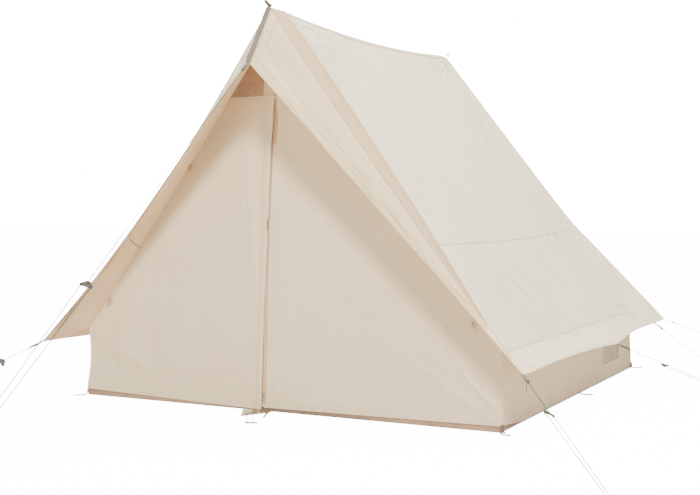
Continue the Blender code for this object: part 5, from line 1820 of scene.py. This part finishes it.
def light_studio():
    tone = looks().floor
    bpy.ops.mesh.primitive_plane_add(size=60.0, location=(0.0, 0.0, 0.0))
    floor = bpy.context.object
    floor.name = "studio_floor"
    floor.data.transform(Matrix.Translation((0.0, 0.0, -0.0015)))
    material, tree, shader = new_material("studio_paper", 0.9, Specular_IOR_Level=0.1)
    cloud = tree.noise(tree.object_place(), 1.5, 3.0)
    seen = tree.node("LightPath").outputs["Is Camera Ray"]
    tree.feed(shader.inputs["Base Color"], tree.mix(cloud, toned(tone, 0.985), tone))
    tree.feed(shader.inputs["Emission Color"], (1.0, 1.0, 1.0))
    tree.feed(shader.inputs["Emission Strength"], tree.times(seen, PAPER_GLOW))
    floor.data.materials.append(material)
    world = bpy.data.worlds.new("studio_air")
    world.use_nodes = True
    tree = NodeTree(world.node_tree)
    air = world.node_tree.nodes["Background"]
    seen = tree.node("LightPath").outputs["Is Camera Ray"]
    tree.feed(air.inputs["Color"], (1.0, 0.985, 0.96))
    tree.feed(air.inputs["Strength"], tree.plus(tree.times(seen, AIR_GLOW), AIR_LIGHT))
    bpy.context.scene.world = world
    towards = Vector((0.388, -0.639, 0.664)).normalized()
    target = Vector((0.0, -0.8, 0.8))
    area_light("key_light", target + towards * 7.5, target, 1.25, 1060.0, (1.0, 0.97, 0.93))
    area_light("front_fill", (-1.0, -7.0, 0.9), (0.0, -1.0, 0.9), 4.0, 235.0, (1.0, 0.975, 0.93))
    area_light("side_fill", (6.0, 0.5, 1.6), (0.5, 0.0, 0.6), 3.0, 130.0, (1.0, 0.98, 0.95))
    area_light("top_light", (1.5, 0.8, 6.5), (0.3, 0.2, 0.8), 4.0, 560.0, (1.0, 0.985, 0.945))


# Settings


def length_setting(label, text, value, low, high):
    return FloatProperty(name=label, description=text, default=value, min=low, max=high,
                         subtype="DISTANCE", unit="LENGTH", precision=4)


def tint(label, text, value):
    return FloatVectorProperty(name=label, description=text, default=value, min=0.0, max=1.0, size=3, subtype="COLOR")


class TentSizes(bpy.types.PropertyGroup):
    """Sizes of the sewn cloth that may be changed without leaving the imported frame."""

    canvas_thickness: length_setting("Canvas thickness", "Thickness of the canopy and the walls", 0.0012, 0.0004, 0.003)
    fold_height: length_setting("Fold height", "Height of the soft folds in the roof", 0.014, 0.0, 0.03)


class TentColours(bpy.types.PropertyGroup):
    """Colours of the cloth, the webbing and the small parts."""

    canvas_light: tint("Roof canvas, light", "Palest tone of the roof", (0.93, 0.86, 0.64))
    canvas_dark: tint("Roof canvas, deep", "Deepest tone of the roof", (0.90, 0.82, 0.59))
    canvas_through: tint("Light through canvas", "Tone of the light through the canvas", (1.0, 0.77, 0.52))
    # Painted shade: the hood's tones are darker, yellower copies of the roof canvas's tones.
    hood_light: tint("Hood canvas, light", "Palest tone of the hood", (0.78, 0.73, 0.47))
    hood_dark: tint("Hood canvas, deep", "Deepest tone of the hood", (0.75, 0.69, 0.43))
    # Painted light: the inner face's tones are lighter copies of the outer canvas tones.
    lining_light: tint("Canvas lining, light", "Palest tone of the inner face", (0.95, 0.88, 0.69))
    lining_dark: tint("Canvas lining, deep", "Deepest tone of the inner face", (0.93, 0.85, 0.64))
    # Painted shade: the band's tones are darker, tanner copies of the roof canvas's tones.
    band_light: tint("Crease band, light", "Palest tone behind the hood's crease", (0.72, 0.61, 0.37))
    band_dark: tint("Crease band, deep", "Deepest tone behind the hood's crease", (0.68, 0.56, 0.33))
    # Painted light: a lighter tone laid on the hood away from its free hem.
    hood_painted_light: tint("Hood canvas, inner part", "Tone of the hood between its hem and the crease", (0.79, 0.73, 0.51))
    # Painted shade: the gable's tones are darker, yellower copies of the roof canvas's tones, also used for the walls.
    gable_light: tint("Gable canvas, light", "Palest tone of the gables and walls", (0.77, 0.67, 0.455))
    gable_dark: tint("Gable canvas, deep", "Deepest tone of the gables and walls", (0.74, 0.63, 0.415))
    seam_light: tint("Seam tape, light", "Palest tone of seams and hems", (0.78, 0.69, 0.50))
    seam_dark: tint("Seam tape, deep", "Deepest tone of seams and hems", (0.72, 0.61, 0.42))
    thread: tint("Seam thread", "Thin seam lines and folded edges", (0.52, 0.34, 0.20))
    webbing: tint("Webbing", "Tabs, straps and peg loops", (0.13, 0.10, 0.065))
    cord: tint("Cord", "Guy lines", (0.045, 0.04, 0.034))
    plastic: tint("Sliders", "Moulded sliders on the guy lines", (0.045, 0.034, 0.026))
    netting: tint("Netting", "Insect netting of the vent and windows", (0.42, 0.28, 0.19))
    window_netting: tint("Window netting", "Threads of the side windows' netting", (0.52, 0.44, 0.33))
    groundsheet: tint("Groundsheet", "Coated cloth of the floor", (0.40, 0.24, 0.135))
    zip_tape: tint("Zip tape", "Cloth tape and teeth of the zip", (0.48, 0.32, 0.19))
    poles: tint("Poles", "Bare metal of the pole frame", (0.60, 0.61, 0.62))
    floor: tint("Studio floor", "Paper under the tent", (0.64, 0.63, 0.62))


# Steps of the work, one operator each


class TENT_OT_camera(bpy.types.Operator):
    """Set up the photograph's view"""

    bl_idname = "ridge_tent.camera"
    bl_label = "View"

    def execute(self, context):
        build_camera()
        return {"FINISHED"}


class TENT_OT_guy_lines(bpy.types.Operator):
    """Lay the guy lines from their tabs to their pegs"""

    bl_idname = "ridge_tent.guy_lines"
    bl_label = "Guy lines"

    def execute(self, context):
        for _, *row in ADJUSTABLE_GUYS:
            lay_guy(*row)
        for _, *row in SHORT_GUYS:
            lay_short_guy(*row)
        return {"FINISHED"}


class TENT_OT_canopy(bpy.types.Operator):
    """Sew the roof with its hoods, seams and hems"""

    bl_idname = "ridge_tent.canopy"
    bl_label = "Canopy"

    def execute(self, context):
        form = CanopyForm()
        sew_canopy(form)
        sew_bands(form)
        return {"FINISHED"}


class TENT_OT_gable(bpy.types.Operator):
    """Sew the front gable with its door leaves"""

    bl_idname = "ridge_tent.gable"
    bl_label = "Front gable"

    def execute(self, context):
        sew_gable()
        sew_vent()
        return {"FINISHED"}


class TENT_OT_walls(bpy.types.Operator):
    """Sew the low side walls with their windows and the rear gable"""

    bl_idname = "ridge_tent.walls"
    bl_label = "Walls"

    def execute(self, context):
        sew_walls()
        sew_rear_wall()
        return {"FINISHED"}


class TENT_OT_groundsheet(bpy.types.Operator):
    """Lay the groundsheet inside the walls"""

    bl_idname = "ridge_tent.groundsheet"
    bl_label = "Groundsheet"

    def execute(self, context):
        sew_groundsheet()
        spread_sill()
        return {"FINISHED"}


class TENT_OT_webbing(bpy.types.Operator):
    """Sew the straps, tabs, peg loops and toggles"""

    bl_idname = "ridge_tent.webbing"
    bl_label = "Webbing"

    def execute(self, context):
        sew_front_strap()
        sew_tabs()
        sew_peg_loops()
        drape_toggles()
        return {"FINISHED"}


class TENT_OT_sliders(bpy.types.Operator):
    """Mould the sliders on the guy lines"""

    bl_idname = "ridge_tent.sliders"
    bl_label = "Sliders"

    def execute(self, context):
        mould_sliders()
        return {"FINISHED"}


class TENT_OT_zip(bpy.types.Operator):
    """Sew the zip between the door leaves and the flap over it"""

    bl_idname = "ridge_tent.zip"
    bl_label = "Zip"

    def execute(self, context):
        sew_zip()
        sew_storm_flap()
        return {"FINISHED"}


class TENT_OT_poles(bpy.types.Operator):
    """Give the pole frame and the zip's slider their metal and plastic"""

    bl_idname = "ridge_tent.poles"
    bl_label = "Poles"

    def execute(self, context):
        finish_frame()
        return {"FINISHED"}


class TENT_OT_studio(bpy.types.Operator):
    """Lay the studio floor and set the lights"""

    bl_idname = "ridge_tent.studio"
    bl_label = "Studio"

    def execute(self, context):
        light_studio()
        return {"FINISHED"}


STEPS = (
    TENT_OT_camera,
    TENT_OT_sliders,
    TENT_OT_guy_lines,
    TENT_OT_canopy,
    TENT_OT_gable,
    TENT_OT_walls,
    TENT_OT_groundsheet,
    TENT_OT_zip,
    TENT_OT_webbing,
    TENT_OT_poles,
    TENT_OT_studio,
)


class TENT_PT_panel(bpy.types.Panel):
    bl_idname = "TENT_PT_panel"
    bl_label = "Ridge Tent"
    bl_space_type = "VIEW_3D"
    bl_region_type = "UI"
    bl_category = "Ridge Tent"

    def draw(self, context):
        for group in (settings(), looks()):
            box = self.layout.box()
            for name in group.bl_rna.properties.keys():
                if name not in ("rna_type", "name"):
                    box.prop(group, name)
        for step in STEPS:
            self.layout.operator(step.bl_idname)


CLASSES = (TentSizes, TentColours, *STEPS, TENT_PT_panel)


def register():
    for item in CLASSES:
        bpy.utils.register_class(item)
    bpy.types.Scene.ridge_tent = PointerProperty(type=TentSizes)
    bpy.types.Scene.ridge_tent_colours = PointerProperty(type=TentColours)


def unregister():
    del bpy.types.Scene.ridge_tent_colours
    del bpy.types.Scene.ridge_tent
    for item in reversed(CLASSES):
        bpy.utils.unregister_class(item)


def main():
    register()
    for step in STEPS:
        group, name = step.bl_idname.split(".")
        getattr(getattr(bpy.ops, group), name)()


if __name__ == "__main__":
    main()
